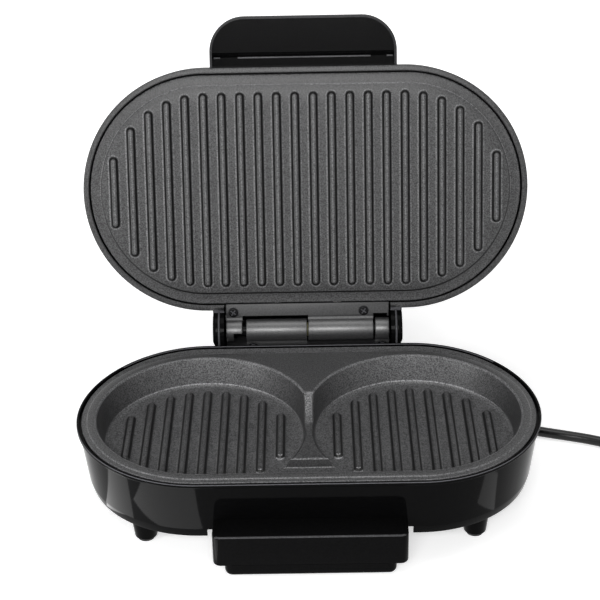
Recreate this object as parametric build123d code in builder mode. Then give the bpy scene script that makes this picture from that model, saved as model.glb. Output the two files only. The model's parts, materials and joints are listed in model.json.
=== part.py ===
from build123d import *
from math import atan, ceil, cos, degrees, pi, radians, sin, sqrt, tan
import os

os.makedirs("parts", exist_ok=True)

# Countertop double hamburger maker, a clamshell grill shown with its lid open.
# Millimetres. +Z is up, +X is to the user's right and +Y points to the hinge.
# The origin lies on the counter, under the middle of the whole grill.
#
# Two frames carry the pieces. The base frame lies in the top face of the lower
# plate's flange, midway between the wells. The lid frame is the same frame,
# turned about the hinge with the lid, so lid sizes are written as if it were
# closed.

# Driving dimensions of the whole grill
rib_pitch = 10.6
pitches_between_wells = 11
well_reach = rib_pitch * pitches_between_wells / 2
hinge_rise = 4.3
open_angle = 107.5
seat_gap = 0.3
slip = 0.05
overrun = 1.0

# Lower plate: two round wells for 4.5 inch patties
flange_radius = 67.0
well_margin = 8.0
well_radius = flange_radius - well_margin
well_depth = 16.65
well_draft_run = 4.1
plate_wall = 3.0
flange_thickness = 2.0
band_width = 3.0
band_step = 0.5
land_depth = 12.0
saddle_top = 20.5
saddle_run = 13.0
land_front = 28.5
land_slope_run = 2.9
land_overlap = 0.73
saddle_round = 6.0

# Ribs of both plates
rib_height = 2.2
rib_base_width = 5.2
rib_crest_width = 2.3
well_rib_margin = 11.0
well_rib_reach = well_radius - well_rib_margin
pad_margin = 6.0
upper_pad_radius = flange_radius - pad_margin
lid_rib_margin = 4.0
lid_rib_reach = upper_pad_radius - lid_rib_margin

# Heating elements, their clips and screws
element_radius = 3.3
element_margin = 23.0
element_loop_radius = well_radius - element_margin
element_end = 14.0
bead_radius = 2.6
bead_length = 4.0
terminal_radius = 1.2
terminal_length = 6.0
clip_reach = 8.2
clip_margin = 4.0
clip_width = 9.0
clip_thickness = 1.2
clip_boss_radius = 3.5
clip_side = 40.0
small_shank = 1.5
small_head = 2.9
small_head_height = 1.8
small_screw_bite = 5.0

# Heat shields
shield_thickness = 0.6
shield_margin = 2.0
shield_radius = well_radius - shield_margin
shield_rim = 3.0
shield_gap = 2.7

# Base housing
lip_overhang = 2.8
lip_width = 1.6
lip_radius = flange_radius + lip_overhang
lip_inner_radius = lip_radius - lip_width
lip_top = 0.2
lip_height = 2.2
lip_inset = 1.2
housing_lean = 3.4
under_well_room = 14.65
housing_top_radius = lip_radius - lip_inset
housing_foot_radius = housing_top_radius - housing_lean
housing_foot = well_depth + under_well_room
housing_wall = 2.4
ledge_width = 2.8
ledge_radius = flange_radius - ledge_width
ledge_thickness = 2.6
block_margin = 0.4
block_round = 4.0

# Bottom cover, feet and case screws
cover_height = 5.9
cover_foot = housing_foot + cover_height
foot_length = 15.3
flange_height = cover_foot + foot_length
cover_top_inset = 0.2
cover_lean = 1.2
cover_top_radius = housing_foot_radius - cover_top_inset
cover_foot_radius = cover_top_radius - cover_lean
cover_rim_width = 2.6
cover_panel_drop = 1.7
cover_panel_top = housing_foot + cover_panel_drop
cover_panel = 2.2
cover_edge_round = 1.4
cover_groove = 0.2
cover_inset = 0.8
case_boss_radius = 4.5
case_tower_radius = 5.2
case_shank = 1.75
case_head = 3.6
case_head_height = 2.0
case_screw_bite = 8.0
case_front_margin = 21.0
case_front = flange_radius - case_front_margin
case_back_x = 24.0
case_back_margin = 17.0
case_back = flange_radius - case_back_margin
foot_top_radius = 7.2
foot_tip_radius = 6.2
foot_spread = 31.2
foot_x = well_reach + foot_spread
foot_margin = 25.0
foot_y = flange_radius - foot_margin
rear_foot_inset = 12.6
rear_foot_margin = 8.7
pad_radius = 4.9
pad_thickness = 2.4
pad_recess = 0.9
vent_length = 34.0
vent_width = 3.0
vent_pitch = 7.0
vent_start = 15.0
vents_per_group = 4

# Base handle, a hollow moulding with a narrower lower tier
base_handle_width = 102.6
base_handle_overhang = 16.4
base_handle_sink = 4.7
base_handle_front = housing_foot_radius + base_handle_overhang
base_handle_back = housing_foot_radius - base_handle_sink
base_handle_top = 25.0
base_handle_height = 18.6
base_tier_step = 6.1
base_tier_width = base_handle_width - 2 * base_tier_step
base_tier_height = 6.8
base_handle_round = 4.2
base_tier_round = 4.0
base_handle_wall = 2.5
base_handle_roof = 4.0
handle_screw_x = 26.0
handle_screw_head = 2.9
housing_screw_margin = 0.4
handle_boss_width = 10.0
notch_gap = 3.2
handle_screw_length = 11.0

# Lid shell
lid_overhang = 1.5
lid_radius = lip_radius + lid_overhang
lid_rim = 2.2
lid_top = 36.0
lid_draft = 2.0
lid_round = 10.0
lid_wall = 2.2
lid_band = 3.3
lid_band_height = 3.5
lid_ledge_width = 6.8
lid_ledge_radius = lid_radius - lid_ledge_width
lid_ledge_thickness = 2.5
cheek_gap = 1.0
cheek_width = 6.6
hood_reach = 11.3
hood_corner = 8.0
hood_fillet = 2.3
hood_cut = 8.0
hood_edge_round = 5.0
doorway_top = 9.5
hood_wall = 2.2

# Upper plate
upper_face = 3.2
upper_thickness = 2.5
upper_pad_step = 0.6
hook_x = 40.0
hook_width = 14.0
hook_wall = 2.4
hook_overhang = 2.0
hook_thickness = 1.6
hook_clearance = 0.3

# Lid handle
lid_handle_width = 108.0
lid_handle_overhang = 28.9
lid_handle_front = lid_radius + lid_handle_overhang
lid_handle_bottom = 3.4
lid_handle_top = 15.0
lid_handle_corner = 20.0
lid_handle_wall = 1.5
lid_handle_insert_depth = 0.8
lid_handle_edge_round = 2.5
lid_neck_start = 8.4
lid_neck_end = 5.3
lid_neck_front = lid_radius + lid_neck_start
lid_neck_back = lid_radius + lid_neck_end
lid_neck_depth = 6.0

# Hinge
hinge_offset = 12.4
hinge_reach = lid_radius + hinge_offset
barrel_radius = 6.6
panel_margin = 10.1
panel_half_width = well_reach - panel_margin
knuckle_width = 9.6
left_end_gap = 2.3
right_end_gap = 1.1
right_knuckle_width = 8.3
barrel_middle = 0.4
left_knuckle_end = panel_half_width - knuckle_width
barrel_start = left_knuckle_end - left_end_gap
right_knuckle_start = panel_half_width - right_knuckle_width
right_barrel_end = right_knuckle_start - right_end_gap
cheek_inner = panel_half_width + cheek_gap
hood_half_width = cheek_inner + cheek_width
block_half_width = panel_half_width + block_margin
rear_foot_x = block_half_width - rear_foot_inset
rear_foot_y = hinge_reach - rear_foot_margin
bracket_thickness = 2.5
base_bracket_top = 3.0
base_bracket_depth = 13.3
base_bracket_front = hinge_reach - base_bracket_depth
barrel_clearance = 0.7
lid_bracket_face = 2.6
lid_bracket_depth = 14.4
lid_bracket_front = hinge_reach - lid_bracket_depth
panel_gap = 1.0
tongue_depth = 25.7
tongue_front = hinge_reach - tongue_depth
tongue_half_width = 28.0
tongue_thickness = 2.0
pin_radius = 3.0
pin_bite = 11.0
sleeve_radius = 4.15
sleeve_bore = 3.3
sleeve_reach = 12.0
bore_length = 24.0
lead_hole_x = 18.0
lead_hole_radius = 2.8
knuckle_notch_width = 4.3
base_screw_left_margin = 15.8
base_screw_right_margin = 4.2
base_screw_left = base_screw_left_margin - panel_half_width
base_screw_right = panel_half_width - base_screw_right_margin
base_screw_depth = 6.7
base_screw_y = hinge_reach - base_screw_depth
lid_screw_left_margin = 4.4
lid_screw_right_margin = 15.0
lid_screw_left = lid_screw_left_margin - panel_half_width
lid_screw_right = panel_half_width - lid_screw_right_margin
lid_screw_depth = 11.1
lid_screw_y = hinge_reach - lid_screw_depth
hinge_shank = 1.6
hinge_head = 3.0
hinge_head_height = 1.1
hinge_screw_bite = 9.0
hinge_boss_radius = 4.0
tongue_screw_x = 18.0
tongue_screw_depth = 21.2
tongue_screw_y = hinge_reach - tongue_screw_depth
tongue_boss_radius = 4.0
tongue_head = 5.5

# Inside the base
thermostat_clearance = 1.15
thermostat_radius = 8.0
thermostat_height = 9.0
thermostat_pad_radius = 9.0
thermostat_pad = 2.0
thermostat_tab_x = 4.5
thermostat_tab_width = 0.8
thermostat_tab = 5.0
thermostat_tab_length = 5.0
thermostat_post_gap = 12.0
thermostat_reach = well_radius + plate_wall + thermostat_pad_radius + thermostat_clearance
thermostat_y = max(sqrt(thermostat_reach ** 2 - well_reach ** 2),
                   saddle_top + plate_wall + thermostat_pad_radius)
thermostat_post_y = thermostat_y + thermostat_post_gap
strap_width = 7.0
strap_thickness = 1.0
terminal_block_length = 30.0
terminal_block_depth = 12.0
terminal_block_height = 11.0
terminal_block_x = 12.0
terminal_block_margin = 8.7
terminal_block_y = hinge_reach - terminal_block_margin
terminal_ways = 3
terminal_way_radius = 2.2
terminal_way_depth = 4.0
wire_radius = 1.1
wire_bend = 4.0
wire_run = 7.0
wire_drop = 20.0
lid_wire_rise = 11.5

# Lamps on the lid
lamp_x = 9.0
lamp_margin = 19.0
lamp_y = lamp_margin - flange_radius
lens_radius = 3.0
lens_flange_radius = 4.2
lens_flange = 0.8
lens_dome = 1.2
lamp_holder_width = 30.0
lamp_holder_depth = 12.0
lamp_holder_height = 9.0

# Power cord: round sheath, plug and the coil that stores its length
cord_diameter = 6.0
cord_exit_margin = 6.7
cord_exit_y = hinge_reach - cord_exit_margin
cord_exit_drop = 22.0
cord_straight = 39.4
bushing_flange_radius = 6.6
bushing_flange = 2.0
bushing_root_radius = 5.4
bushing_tip_radius = 3.9
bushing_length = 24.0
bushing_grooves = 5
bushing_groove_start = 5.0
bushing_groove_pitch = 3.4
bushing_groove_width = 1.4
bushing_groove_depth = 0.2
clamp_length = 8.0
clamp_width = 13.0
clamp_cap = 4.0
cord_clamp_margin = 11.6
cord_clamp_x = block_half_width - cord_clamp_margin
coil_clearance = 65.4
coil_start_x = well_reach + lid_radius + coil_clearance
coil_start_y = -10.0
coil_lead = 6.0
coil_outer_radius = 36.0
coil_gap = 0.6
coil_turns_per_layer = 1.5
coil_tail = 9.0
plug_length = 30.0
plug_width = 25.0
plug_neck_length = 16.0
plug_neck_radius = 5.0
plug_round = 3.5
blade_length = 17.0
blade_width = 6.3
blade_thickness = 1.5
blade_spacing = 12.7
blade_root = 9.0
blade_hole_inset = 4.0
blade_hole_radius = 1.6

# The lid frame and the place of the base under the whole grill.
# The open lid reaches furthest back with the rounded front edge of its top.
turn = radians(open_angle)
lid_slope = tan(radians(lid_draft))
lid_round_height = lid_top - lid_round
lid_round_reach = (lid_radius - (lid_round_height - lid_rim) * lid_slope
                   - lid_round / cos(radians(lid_draft)))
rear_reach = (hinge_reach - cos(turn) * (lid_round_reach + hinge_reach)
              + sin(turn) * (lid_round_height - hinge_rise) + lid_round)
centre_y = (base_handle_front - rear_reach) / 2

base = Plane((0, centre_y, flange_height))
hinge_point = Vector(0, centre_y + hinge_reach, flange_height + hinge_rise)
lid_back = Vector(0, cos(turn), -sin(turn))
lid_up = Vector(0, sin(turn), cos(turn))
lid = Plane(hinge_point - lid_back * hinge_reach - lid_up * hinge_rise,
            x_dir=(1, 0, 0), z_dir=lid_up)

# Levels that several pieces share
floor_radius = well_radius - well_draft_run
plate_underside = -(well_depth + plate_wall)
element_drop = plate_underside - element_radius
clip_level = plate_underside - 2 * element_radius
shield_level = clip_level - clip_thickness - shield_gap
upper_back = upper_face + upper_thickness
upper_element_rise = upper_back + element_radius
upper_clip_level = upper_back + 2 * element_radius
upper_shield_level = upper_clip_level + clip_thickness + shield_gap
block_back = (hinge_reach + hood_reach * cos(turn) + hood_cut * sin(turn)
              - seat_gap)
bracket_underside = base_bracket_top + bracket_thickness
lid_bracket_back = lid_bracket_face + bracket_thickness
lid_handle_screw_seat = (lid_radius - (lid_round_height - lid_rim) * lid_slope
                         - lid_wall)
case_places = [(-well_reach, 0), (well_reach, 0), (0, -case_front),
               (-case_back_x, case_back), (case_back_x, case_back)]
rib_taper = degrees(atan((rib_base_width - rib_crest_width) / 2 / rib_height))


def side(frame, x):
    """A plane across the grill at x: its own x runs back and its y runs up."""
    return Plane(frame.origin + frame.x_dir * x, x_dir=frame.y_dir, z_dir=frame.x_dir)


def front(frame, y):
    """A plane that faces the user at y: its own x runs right and its y up."""
    return Plane(frame.origin + frame.y_dir * y, x_dir=frame.x_dir, z_dir=frame.y_dir * -1)


def stadium(radius):
    """The outline that every shell and plate follows, one arc round each well."""
    SlotCenterToCenter(2 * well_reach, 2 * radius)


def stadium_block(frame, low, low_radius, high, high_radius, mode=Mode.ADD):
    """A drafted block on the stadium outline, between two levels."""
    with BuildSketch(frame.offset(low)) as bottom:
        stadium(low_radius)
    with BuildSketch(frame.offset(high)) as top:
        stadium(high_radius)
    loft([bottom.sketch, top.sketch], ruled=True, mode=mode)


def well_half(hand, low, low_radius, high, high_radius, front_edge, mode):
    """One drafted well with its half of the straight trough along the front."""
    sections = []
    for level, radius in ((low, low_radius), (high, high_radius)):
        with BuildSketch(base.offset(level)) as section:
            with Locations((hand * well_reach, 0)):
                Circle(radius)
            with BuildLine():
                Polyline((-hand * overrun, -radius), (hand * well_reach, -radius),
                         (hand * well_reach, -front_edge), (-hand * overrun, -front_edge),
                         close=True)
            make_face()
        sections.append(section.sketch)
    loft(sections, ruled=True, mode=mode)


def rib_rows(frame, level, places, amount):
    """A row of tapered ribs with round ends: each place is x and half length."""
    with BuildSketch(frame.offset(level)) as roots:
        for x, half_length in places:
            with Locations((x, 0)):
                SlotOverall(2 * half_length, rib_base_width, rotation=90)
    extrude(roots.sketch, amount=amount, taper=rib_taper)


def slab(frame, left, right, near, far, low, high, mode=Mode.ADD, corner=0, ends=0):
    """A flat-sided block between two levels. The near or far corners may be round."""
    with BuildSketch(frame.offset(low)) as plan:
        with Locations(((left + right) / 2, (near + far) / 2)):
            Rectangle(right - left, far - near)
        if corner:
            fillet(plan.vertices().group_by(Axis.Y)[ends], corner)
    extrude(plan.sketch, amount=high - low, mode=mode)


def post(frame, x, y, low, high, radius, mode=Mode.ADD, end_radius=0):
    """A round post or hole between two levels. It may taper to its end radius."""
    with BuildSketch(frame.offset(low)) as section:
        with Locations((x, y)):
            Circle(radius)
    lean = degrees(atan((radius - end_radius) / abs(high - low))) if end_radius else 0
    extrude(section.sketch, amount=high - low, taper=lean, mode=mode)


def cross_bar(frame, start, end, back, up, radius, mode=Mode.ADD):
    """A round bar or bore that runs across the grill, from one x to another."""
    with BuildSketch(side(frame, start)) as section:
        with Locations((back, up)):
            Circle(radius)
    extrude(section.sketch, amount=end - start, mode=mode)


def long_bar(frame, start, end, x, up, radius, mode=Mode.ADD):
    """A round bar or bore that runs from one y back to another."""
    with BuildSketch(front(frame, end)) as section:
        with Locations((x, up)):
            Circle(radius)
    extrude(section.sketch, amount=end - start, mode=mode)


def side_profile(frame, start, end, points, mode=Mode.ADD):
    """A prism across the grill with corners given as (back, up)."""
    with BuildSketch(side(frame, start)) as section:
        with BuildLine():
            Polyline(*points, close=True)
        make_face()
    extrude(section.sketch, amount=end - start, mode=mode)


def element_tube(frame, level):
    """The heating element's open loop, with both ends at the back."""
    with BuildLine(frame.offset(level)) as path:
        Line((element_end, element_loop_radius), (well_reach, element_loop_radius))
        CenterArc((well_reach, 0), element_loop_radius, -90, 180)
        Line((well_reach, -element_loop_radius), (-well_reach, -element_loop_radius))
        CenterArc((-well_reach, 0), element_loop_radius, 90, 180)
        Line((-well_reach, element_loop_radius), (-element_end, element_loop_radius))
    with BuildSketch(side(frame, element_end)) as section:
        with Locations((element_loop_radius, level)):
            Circle(element_radius)
    sweep(section.sketch, path=path.line)


def element_terminals(frame, level):
    """Ceramic beads and pins at the two ends of the element."""
    for hand in (-1, 1):
        bead_end = hand * (element_end - bead_length)
        cross_bar(frame, hand * element_end, bead_end, element_loop_radius, level, bead_radius)
        cross_bar(frame, bead_end, bead_end - hand * terminal_length, element_loop_radius,
                  level, terminal_radius)


# Each clip is a boss place, and the way from there to the element
clip_places = [(hand * (well_reach + element_loop_radius - clip_reach), 0, hand, 0)
               for hand in (-1, 1)]
clip_places += [(hand * clip_side, end * (element_loop_radius - clip_reach), 0, end)
                for hand in (-1, 1) for end in (-1, 1)]
clip_screw_places = [(x, y) for x, y, _, _ in clip_places]


def clips(frame, low, high):
    """Flat clips that hold the element against its plate."""
    for x, y, way_x, way_y in clip_places:
        far_x, far_y = way_x * (clip_reach + clip_margin), way_y * (clip_reach + clip_margin)
        near_x, near_y = way_x * clip_margin, way_y * clip_margin
        half = clip_width / 2
        if way_x:
            slab(frame, min(x - near_x, x + far_x), max(x - near_x, x + far_x),
                 y - half, y + half, low, high)
        else:
            slab(frame, x - half, x + half, min(y - near_y, y + far_y),
                 max(y - near_y, y + far_y), low, high)
        post(frame, x, y, low, high, small_shank + slip, Mode.SUBTRACT)


def screws(frame, places, seat, way, shank, bite, head, head_height):
    """Pan head screws. The head stands on the seat level, the shank runs on."""
    for x, y in places:
        post(frame, x, y, seat, seat + way * bite, shank)
        post(frame, x, y, seat, seat - way * head_height, head)


def ring_slot(frame, low, high, outer, inner, mode=Mode.ADD):
    """A band between two stadium outlines and two levels."""
    with BuildSketch(frame.offset(low)) as section:
        stadium(outer)
        SlotCenterToCenter(2 * well_reach, 2 * inner, mode=Mode.SUBTRACT)
    extrude(section.sketch, amount=high - low, mode=mode)


def wire(frame, points, radius, bend):
    """A round wire along straight runs with equal bends."""
    with BuildLine(frame) as path:
        FilletPolyline(*points, radius=bend)
    first = frame.from_local_coords(Vector(points[0]))
    second = frame.from_local_coords(Vector(points[1]))
    with BuildSketch(Plane(first, z_dir=second - first)) as section:
        Circle(radius)
    sweep(section.sketch, path=path.line)


def rim_face(frame, piece, place):
    """The flat face of a piece that lies highest (-1) or lowest (0) in its frame."""
    up = Axis(frame.origin, frame.z_dir)
    return piece.faces().filter_by(GeomType.PLANE).filter_by(up).sort_by(up)[place]


# Lower cooking plate: one aluminium casting. Each well is a drafted round pan,
# and the two meet over a saddle that falls from the flange to a low land. The
# land ends in a short slope, so a trough joins the wells along the front.
land_toe = land_front + land_slope_run
land_half_width = max(well_reach - sqrt(floor_radius ** 2 - land_toe ** 2) + land_overlap,
                      saddle_round)
saddle_foot = saddle_top - saddle_run
half_ribs = int(well_rib_reach / rib_pitch)
with BuildPart() as lower_cooking_plate:
    for hand in (-1, 1):
        well_half(hand, plate_underside, floor_radius + plate_wall, 0, well_radius + plate_wall,
                  land_front, Mode.ADD)
    side_profile(base, -land_half_width, land_half_width,
                 [(-land_toe, 0), (-land_toe, -land_depth - plate_wall),
                  (saddle_foot + plate_wall, -land_depth - plate_wall),
                  (saddle_top + plate_wall, -flange_thickness), (saddle_top + plate_wall, 0)])
    stadium_block(base, -flange_thickness, flange_radius, 0, flange_radius)
    ring_slot(base, -band_step, 0, flange_radius + overrun, flange_radius - band_width,
              Mode.SUBTRACT)
    for x, y in case_places:
        post(base, x, y, shield_level, -flange_thickness, case_boss_radius)
    post(base, 0, thermostat_y, -flange_thickness - thermostat_pad, -flange_thickness,
         thermostat_pad_radius)
    post(base, 0, thermostat_post_y, -flange_thickness - thermostat_pad - thermostat_height,
         -flange_thickness, clip_boss_radius)
    post(base, 0, thermostat_post_y, -flange_thickness - thermostat_pad - thermostat_height,
         small_screw_bite - thermostat_pad - thermostat_height, small_shank, Mode.SUBTRACT)
    for x, y in clip_screw_places:
        post(base, x, y, clip_level, plate_underside, clip_boss_radius)
        post(base, x, y, clip_level, clip_level + small_screw_bite, small_shank, Mode.SUBTRACT)
    for x, y in case_places:
        post(base, x, y, shield_level, shield_level + case_screw_bite, case_shank, Mode.SUBTRACT)
    for hand in (-1, 1):
        well_half(hand, -well_depth, floor_radius, 0, well_radius, land_toe, Mode.SUBTRACT)
    with BuildSketch(side(base, -land_half_width)) as saddle_profile:
        with BuildLine():
            Polyline((-land_toe, overrun), (-land_toe, -well_depth), (-land_front, -land_depth),
                     (saddle_foot, -land_depth), (saddle_top, 0), (saddle_top, overrun),
                     close=True)
        make_face()
        foot = Vector(saddle_foot, -land_depth, 0)
        fillet(saddle_profile.vertices().sort_by_distance(foot)[0], saddle_round)
    extrude(amount=2 * land_half_width, mode=Mode.SUBTRACT)
    for hand in (-1, 1):
        rib_rows(base, -well_depth,
                 [(hand * well_reach + n * rib_pitch,
                   sqrt(well_rib_reach ** 2 - (n * rib_pitch) ** 2))
                  for n in range(-half_ribs, half_ribs + 1)], rib_height)
lower_cooking_plate.part.label = "lower_cooking_plate"
export_step(lower_cooking_plate.part, "parts/lower_cooking_plate.step")

# Lower heating element, under the floors of the wells
with BuildPart() as lower_heating_element:
    element_tube(base, element_drop)
lower_heating_element.part.label = "lower_heating_element"
export_step(lower_heating_element.part, "parts/lower_heating_element.step")

with BuildPart() as lower_element_terminals:
    element_terminals(base, element_drop)
lower_element_terminals.part.label = "lower_element_terminals"
export_step(lower_element_terminals.part, "parts/lower_element_terminals.step")

with BuildPart() as lower_element_clips:
    clips(base, clip_level - clip_thickness, clip_level)
lower_element_clips.part.label = "lower_element_clips"
export_step(lower_element_clips.part, "parts/lower_element_clips.step")

with BuildPart() as lower_clip_screws:
    screws(base, clip_screw_places, clip_level - clip_thickness, 1, small_shank - slip,
           clip_thickness + small_screw_bite - overrun, small_head, small_head_height)
lower_clip_screws.part.label = "lower_clip_screws"
export_step(lower_clip_screws.part, "parts/lower_clip_screws.step")

# Lower heat shield: a thin tray between the element and the bottom cover
shield_foot = shield_level - shield_thickness
with BuildPart() as lower_heat_shield:
    ring_slot(base, shield_foot, shield_foot + shield_rim, shield_radius,
              shield_radius - shield_thickness)
    stadium_block(base, shield_foot, shield_radius, shield_level, shield_radius)
    for x, y in case_places:
        post(base, x, y, shield_foot, shield_level, case_shank + slip, Mode.SUBTRACT)
lower_heat_shield.part.label = "lower_heat_shield"
export_step(lower_heat_shield.part, "parts/lower_heat_shield.step")

# Base housing: a drafted ring with a lip round the plate, and the hinge block
# behind it. The plate's flange rests on an inner ledge.
lip_foot = lip_top + lip_height
housing_slope = (housing_top_radius - housing_foot_radius) / (housing_foot - lip_foot)
ledge_foot = flange_thickness + ledge_thickness
handle_screw_drop = housing_foot - handle_screw_head - housing_screw_margin
handle_screw_seat = housing_foot_radius + housing_slope * housing_screw_margin - housing_wall
hinge_screw_places = [(base_screw_left, base_screw_y), (base_screw_right, base_screw_y)]


def housing_reach(drop):
    """Radius of the housing's outside, some way below the flange."""
    return housing_foot_radius + housing_slope * (housing_foot - drop)


with BuildPart() as housing_form:
    stadium_block(base, -housing_foot, housing_foot_radius, -lip_foot, housing_top_radius)

with BuildPart() as base_housing:
    add(housing_form.part)
    stadium_block(base, -lip_foot, lip_radius, -lip_top, lip_radius)
    slab(base, -block_half_width, block_half_width, 0, block_back, -housing_foot,
         -bracket_underside, corner=block_round, ends=-1)
    stadium_block(base, -housing_foot, housing_foot_radius - housing_wall, -ledge_foot,
                  housing_reach(ledge_foot) - housing_wall, Mode.SUBTRACT)
    stadium_block(base, -ledge_foot, ledge_radius, -flange_thickness, ledge_radius,
                  Mode.SUBTRACT)
    stadium_block(base, -flange_thickness, lip_inner_radius, 0, lip_inner_radius, Mode.SUBTRACT)
    slab(base, -block_half_width + housing_wall, block_half_width - housing_wall, 0,
         block_back - housing_wall, -housing_foot, -bracket_underside - housing_wall,
         Mode.SUBTRACT, corner=block_round - housing_wall, ends=-1)
    for x, y in hinge_screw_places:
        post(base, x, y, -bracket_underside - hinge_screw_bite, -bracket_underside,
             hinge_boss_radius)
        post(base, x, y, -bracket_underside - hinge_screw_bite + overrun, -bracket_underside,
             hinge_shank, Mode.SUBTRACT)
    post(base, -lead_hole_x, hinge_reach, -bracket_underside - housing_wall,
         -bracket_underside, lead_hole_radius, Mode.SUBTRACT)
    cross_bar(base, block_half_width - housing_wall, block_half_width, cord_exit_y,
              -cord_exit_drop, bushing_root_radius + slip, Mode.SUBTRACT)
    for hand in (-1, 1):
        long_bar(base, -housing_top_radius, -handle_screw_seat, hand * handle_screw_x,
                 -handle_screw_drop, small_shank + slip, Mode.SUBTRACT)
base_housing.part.label = "base_housing"
export_step(base_housing.part, "parts/base_housing.step")

# Bottom cover: a shallow tray that closes the housing and carries the feet
cover_top = housing_foot + cover_groove
cover_block_half = block_half_width - cover_inset
cover_block_back = block_back - cover_inset
foot_places = [(-foot_x, -foot_y), (foot_x, -foot_y), (-rear_foot_x, rear_foot_y),
               (rear_foot_x, rear_foot_y)]
foot_tip = flange_height - pad_thickness + pad_recess
cover_panel_foot = cover_panel_top + cover_panel
with BuildPart() as bottom_cover:
    stadium_block(base, -cover_foot, cover_foot_radius, -cover_top, cover_top_radius)
    slab(base, -cover_block_half, cover_block_half, 0, cover_block_back, -cover_foot,
         -cover_top, corner=block_round, ends=-1)
    fillet(rim_face(base, bottom_cover, 0).outer_wire().edges(), cover_edge_round)
    stadium_block(base, -cover_panel_top, cover_foot_radius - cover_rim_width, -cover_top,
                  cover_top_radius - cover_rim_width, Mode.SUBTRACT)
    slab(base, -cover_block_half + cover_rim_width, cover_block_half - cover_rim_width, 0,
         cover_block_back - cover_rim_width, -cover_panel_top, -cover_top, Mode.SUBTRACT)
    stadium_block(base, -cover_foot, cover_foot_radius - cover_rim_width, -cover_panel_foot,
                  cover_foot_radius - cover_rim_width, Mode.SUBTRACT)
    slab(base, -cover_block_half + cover_rim_width, cover_block_half - cover_rim_width, 0,
         cover_block_back - cover_rim_width, -cover_foot, -cover_panel_foot, Mode.SUBTRACT)
    slab(base, -base_handle_width / 2 - notch_gap, base_handle_width / 2 + notch_gap,
         -cover_top_radius, -base_handle_back + seat_gap, -cover_foot, -cover_top,
         Mode.SUBTRACT)
    for x, y in foot_places:
        post(base, x, y, -cover_panel_foot, -foot_tip, foot_top_radius,
             end_radius=foot_tip_radius)
        post(base, x, y, -foot_tip, -foot_tip + pad_recess, pad_radius + slip, Mode.SUBTRACT)
    for x, y in case_places:
        post(base, x, y, -cover_panel_top, shield_foot, case_tower_radius)
        post(base, x, y, -cover_panel_foot, shield_foot, case_shank + slip, Mode.SUBTRACT)
    for hand in (-1, 1):
        for end in (-1, 1):
            for n in range(vents_per_group):
                with BuildSketch(base.offset(-cover_panel_foot)) as vent:
                    with Locations((hand * well_reach, end * (vent_start + n * vent_pitch))):
                        SlotOverall(vent_length, vent_width)
                extrude(vent.sketch, amount=cover_panel, mode=Mode.SUBTRACT)
bottom_cover.part.label = "bottom_cover"
export_step(bottom_cover.part, "parts/bottom_cover.step")

with BuildPart() as foot_pads:
    for x, y in foot_places:
        post(base, x, y, -flange_height, -flange_height + pad_thickness, pad_radius)
foot_pads.part.label = "foot_pads"
export_step(foot_pads.part, "parts/foot_pads.step")

with BuildPart() as case_screws:
    screws(base, case_places, -cover_panel_foot, 1, case_shank - slip,
           cover_panel_foot + shield_level + case_screw_bite - overrun, case_head,
           case_head_height)
case_screws.part.label = "case_screws"
export_step(case_screws.part, "parts/case_screws.step")

# Base handle: a hollow moulding in two tiers. Its front face is flush, and
# its back follows the housing. Two solid bosses take screws from inside.
handle_half = base_handle_width / 2
tier_half = base_tier_width / 2
handle_tier = base_handle_top + base_handle_height
handle_foot = handle_tier + base_tier_height
handle_room_front = base_handle_front - base_handle_wall
handle_room_back = housing_top_radius
handle_room_end = tier_half - base_handle_wall
boss_near = handle_screw_x - handle_boss_width / 2
boss_far = handle_screw_x + handle_boss_width / 2
with BuildPart() as base_handle:
    slab(base, -handle_half, handle_half, -base_handle_front, -base_handle_back,
         -handle_tier, -base_handle_top, corner=base_handle_round)
    slab(base, -tier_half, tier_half, -base_handle_front, -base_handle_back,
         -handle_foot, -handle_tier, corner=base_handle_round)
    fillet(rim_face(base, base_handle, 0).outer_wire().edges()
           .filter_by(lambda edge: edge.center().Y < centre_y - base_handle_back - overrun),
           base_tier_round - overrun)
    add(housing_form.part, mode=Mode.SUBTRACT)
    for left, right in ((-handle_room_end, -boss_far), (-boss_near, boss_near),
                        (boss_far, handle_room_end)):
        slab(base, left, right, -handle_room_front, -handle_room_back, -handle_foot,
             -base_handle_top - base_handle_roof, Mode.SUBTRACT)
    for hand in (-1, 1):
        long_bar(base, -handle_room_front + overrun, -base_handle_back,
                 hand * handle_screw_x, -handle_screw_drop, small_shank, Mode.SUBTRACT)
base_handle.part.label = "base_handle"
export_step(base_handle.part, "parts/base_handle.step")

with BuildPart() as base_handle_screws:
    for hand in (-1, 1):
        x = hand * handle_screw_x
        long_bar(base, -handle_screw_seat - handle_screw_length, -handle_screw_seat, x,
                 -handle_screw_drop, small_shank - slip)
        long_bar(base, -handle_screw_seat, -handle_screw_seat + small_head_height, x,
                 -handle_screw_drop, handle_screw_head)
base_handle_screws.part.label = "base_handle_screws"
export_step(base_handle_screws.part, "parts/base_handle_screws.step")

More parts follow.
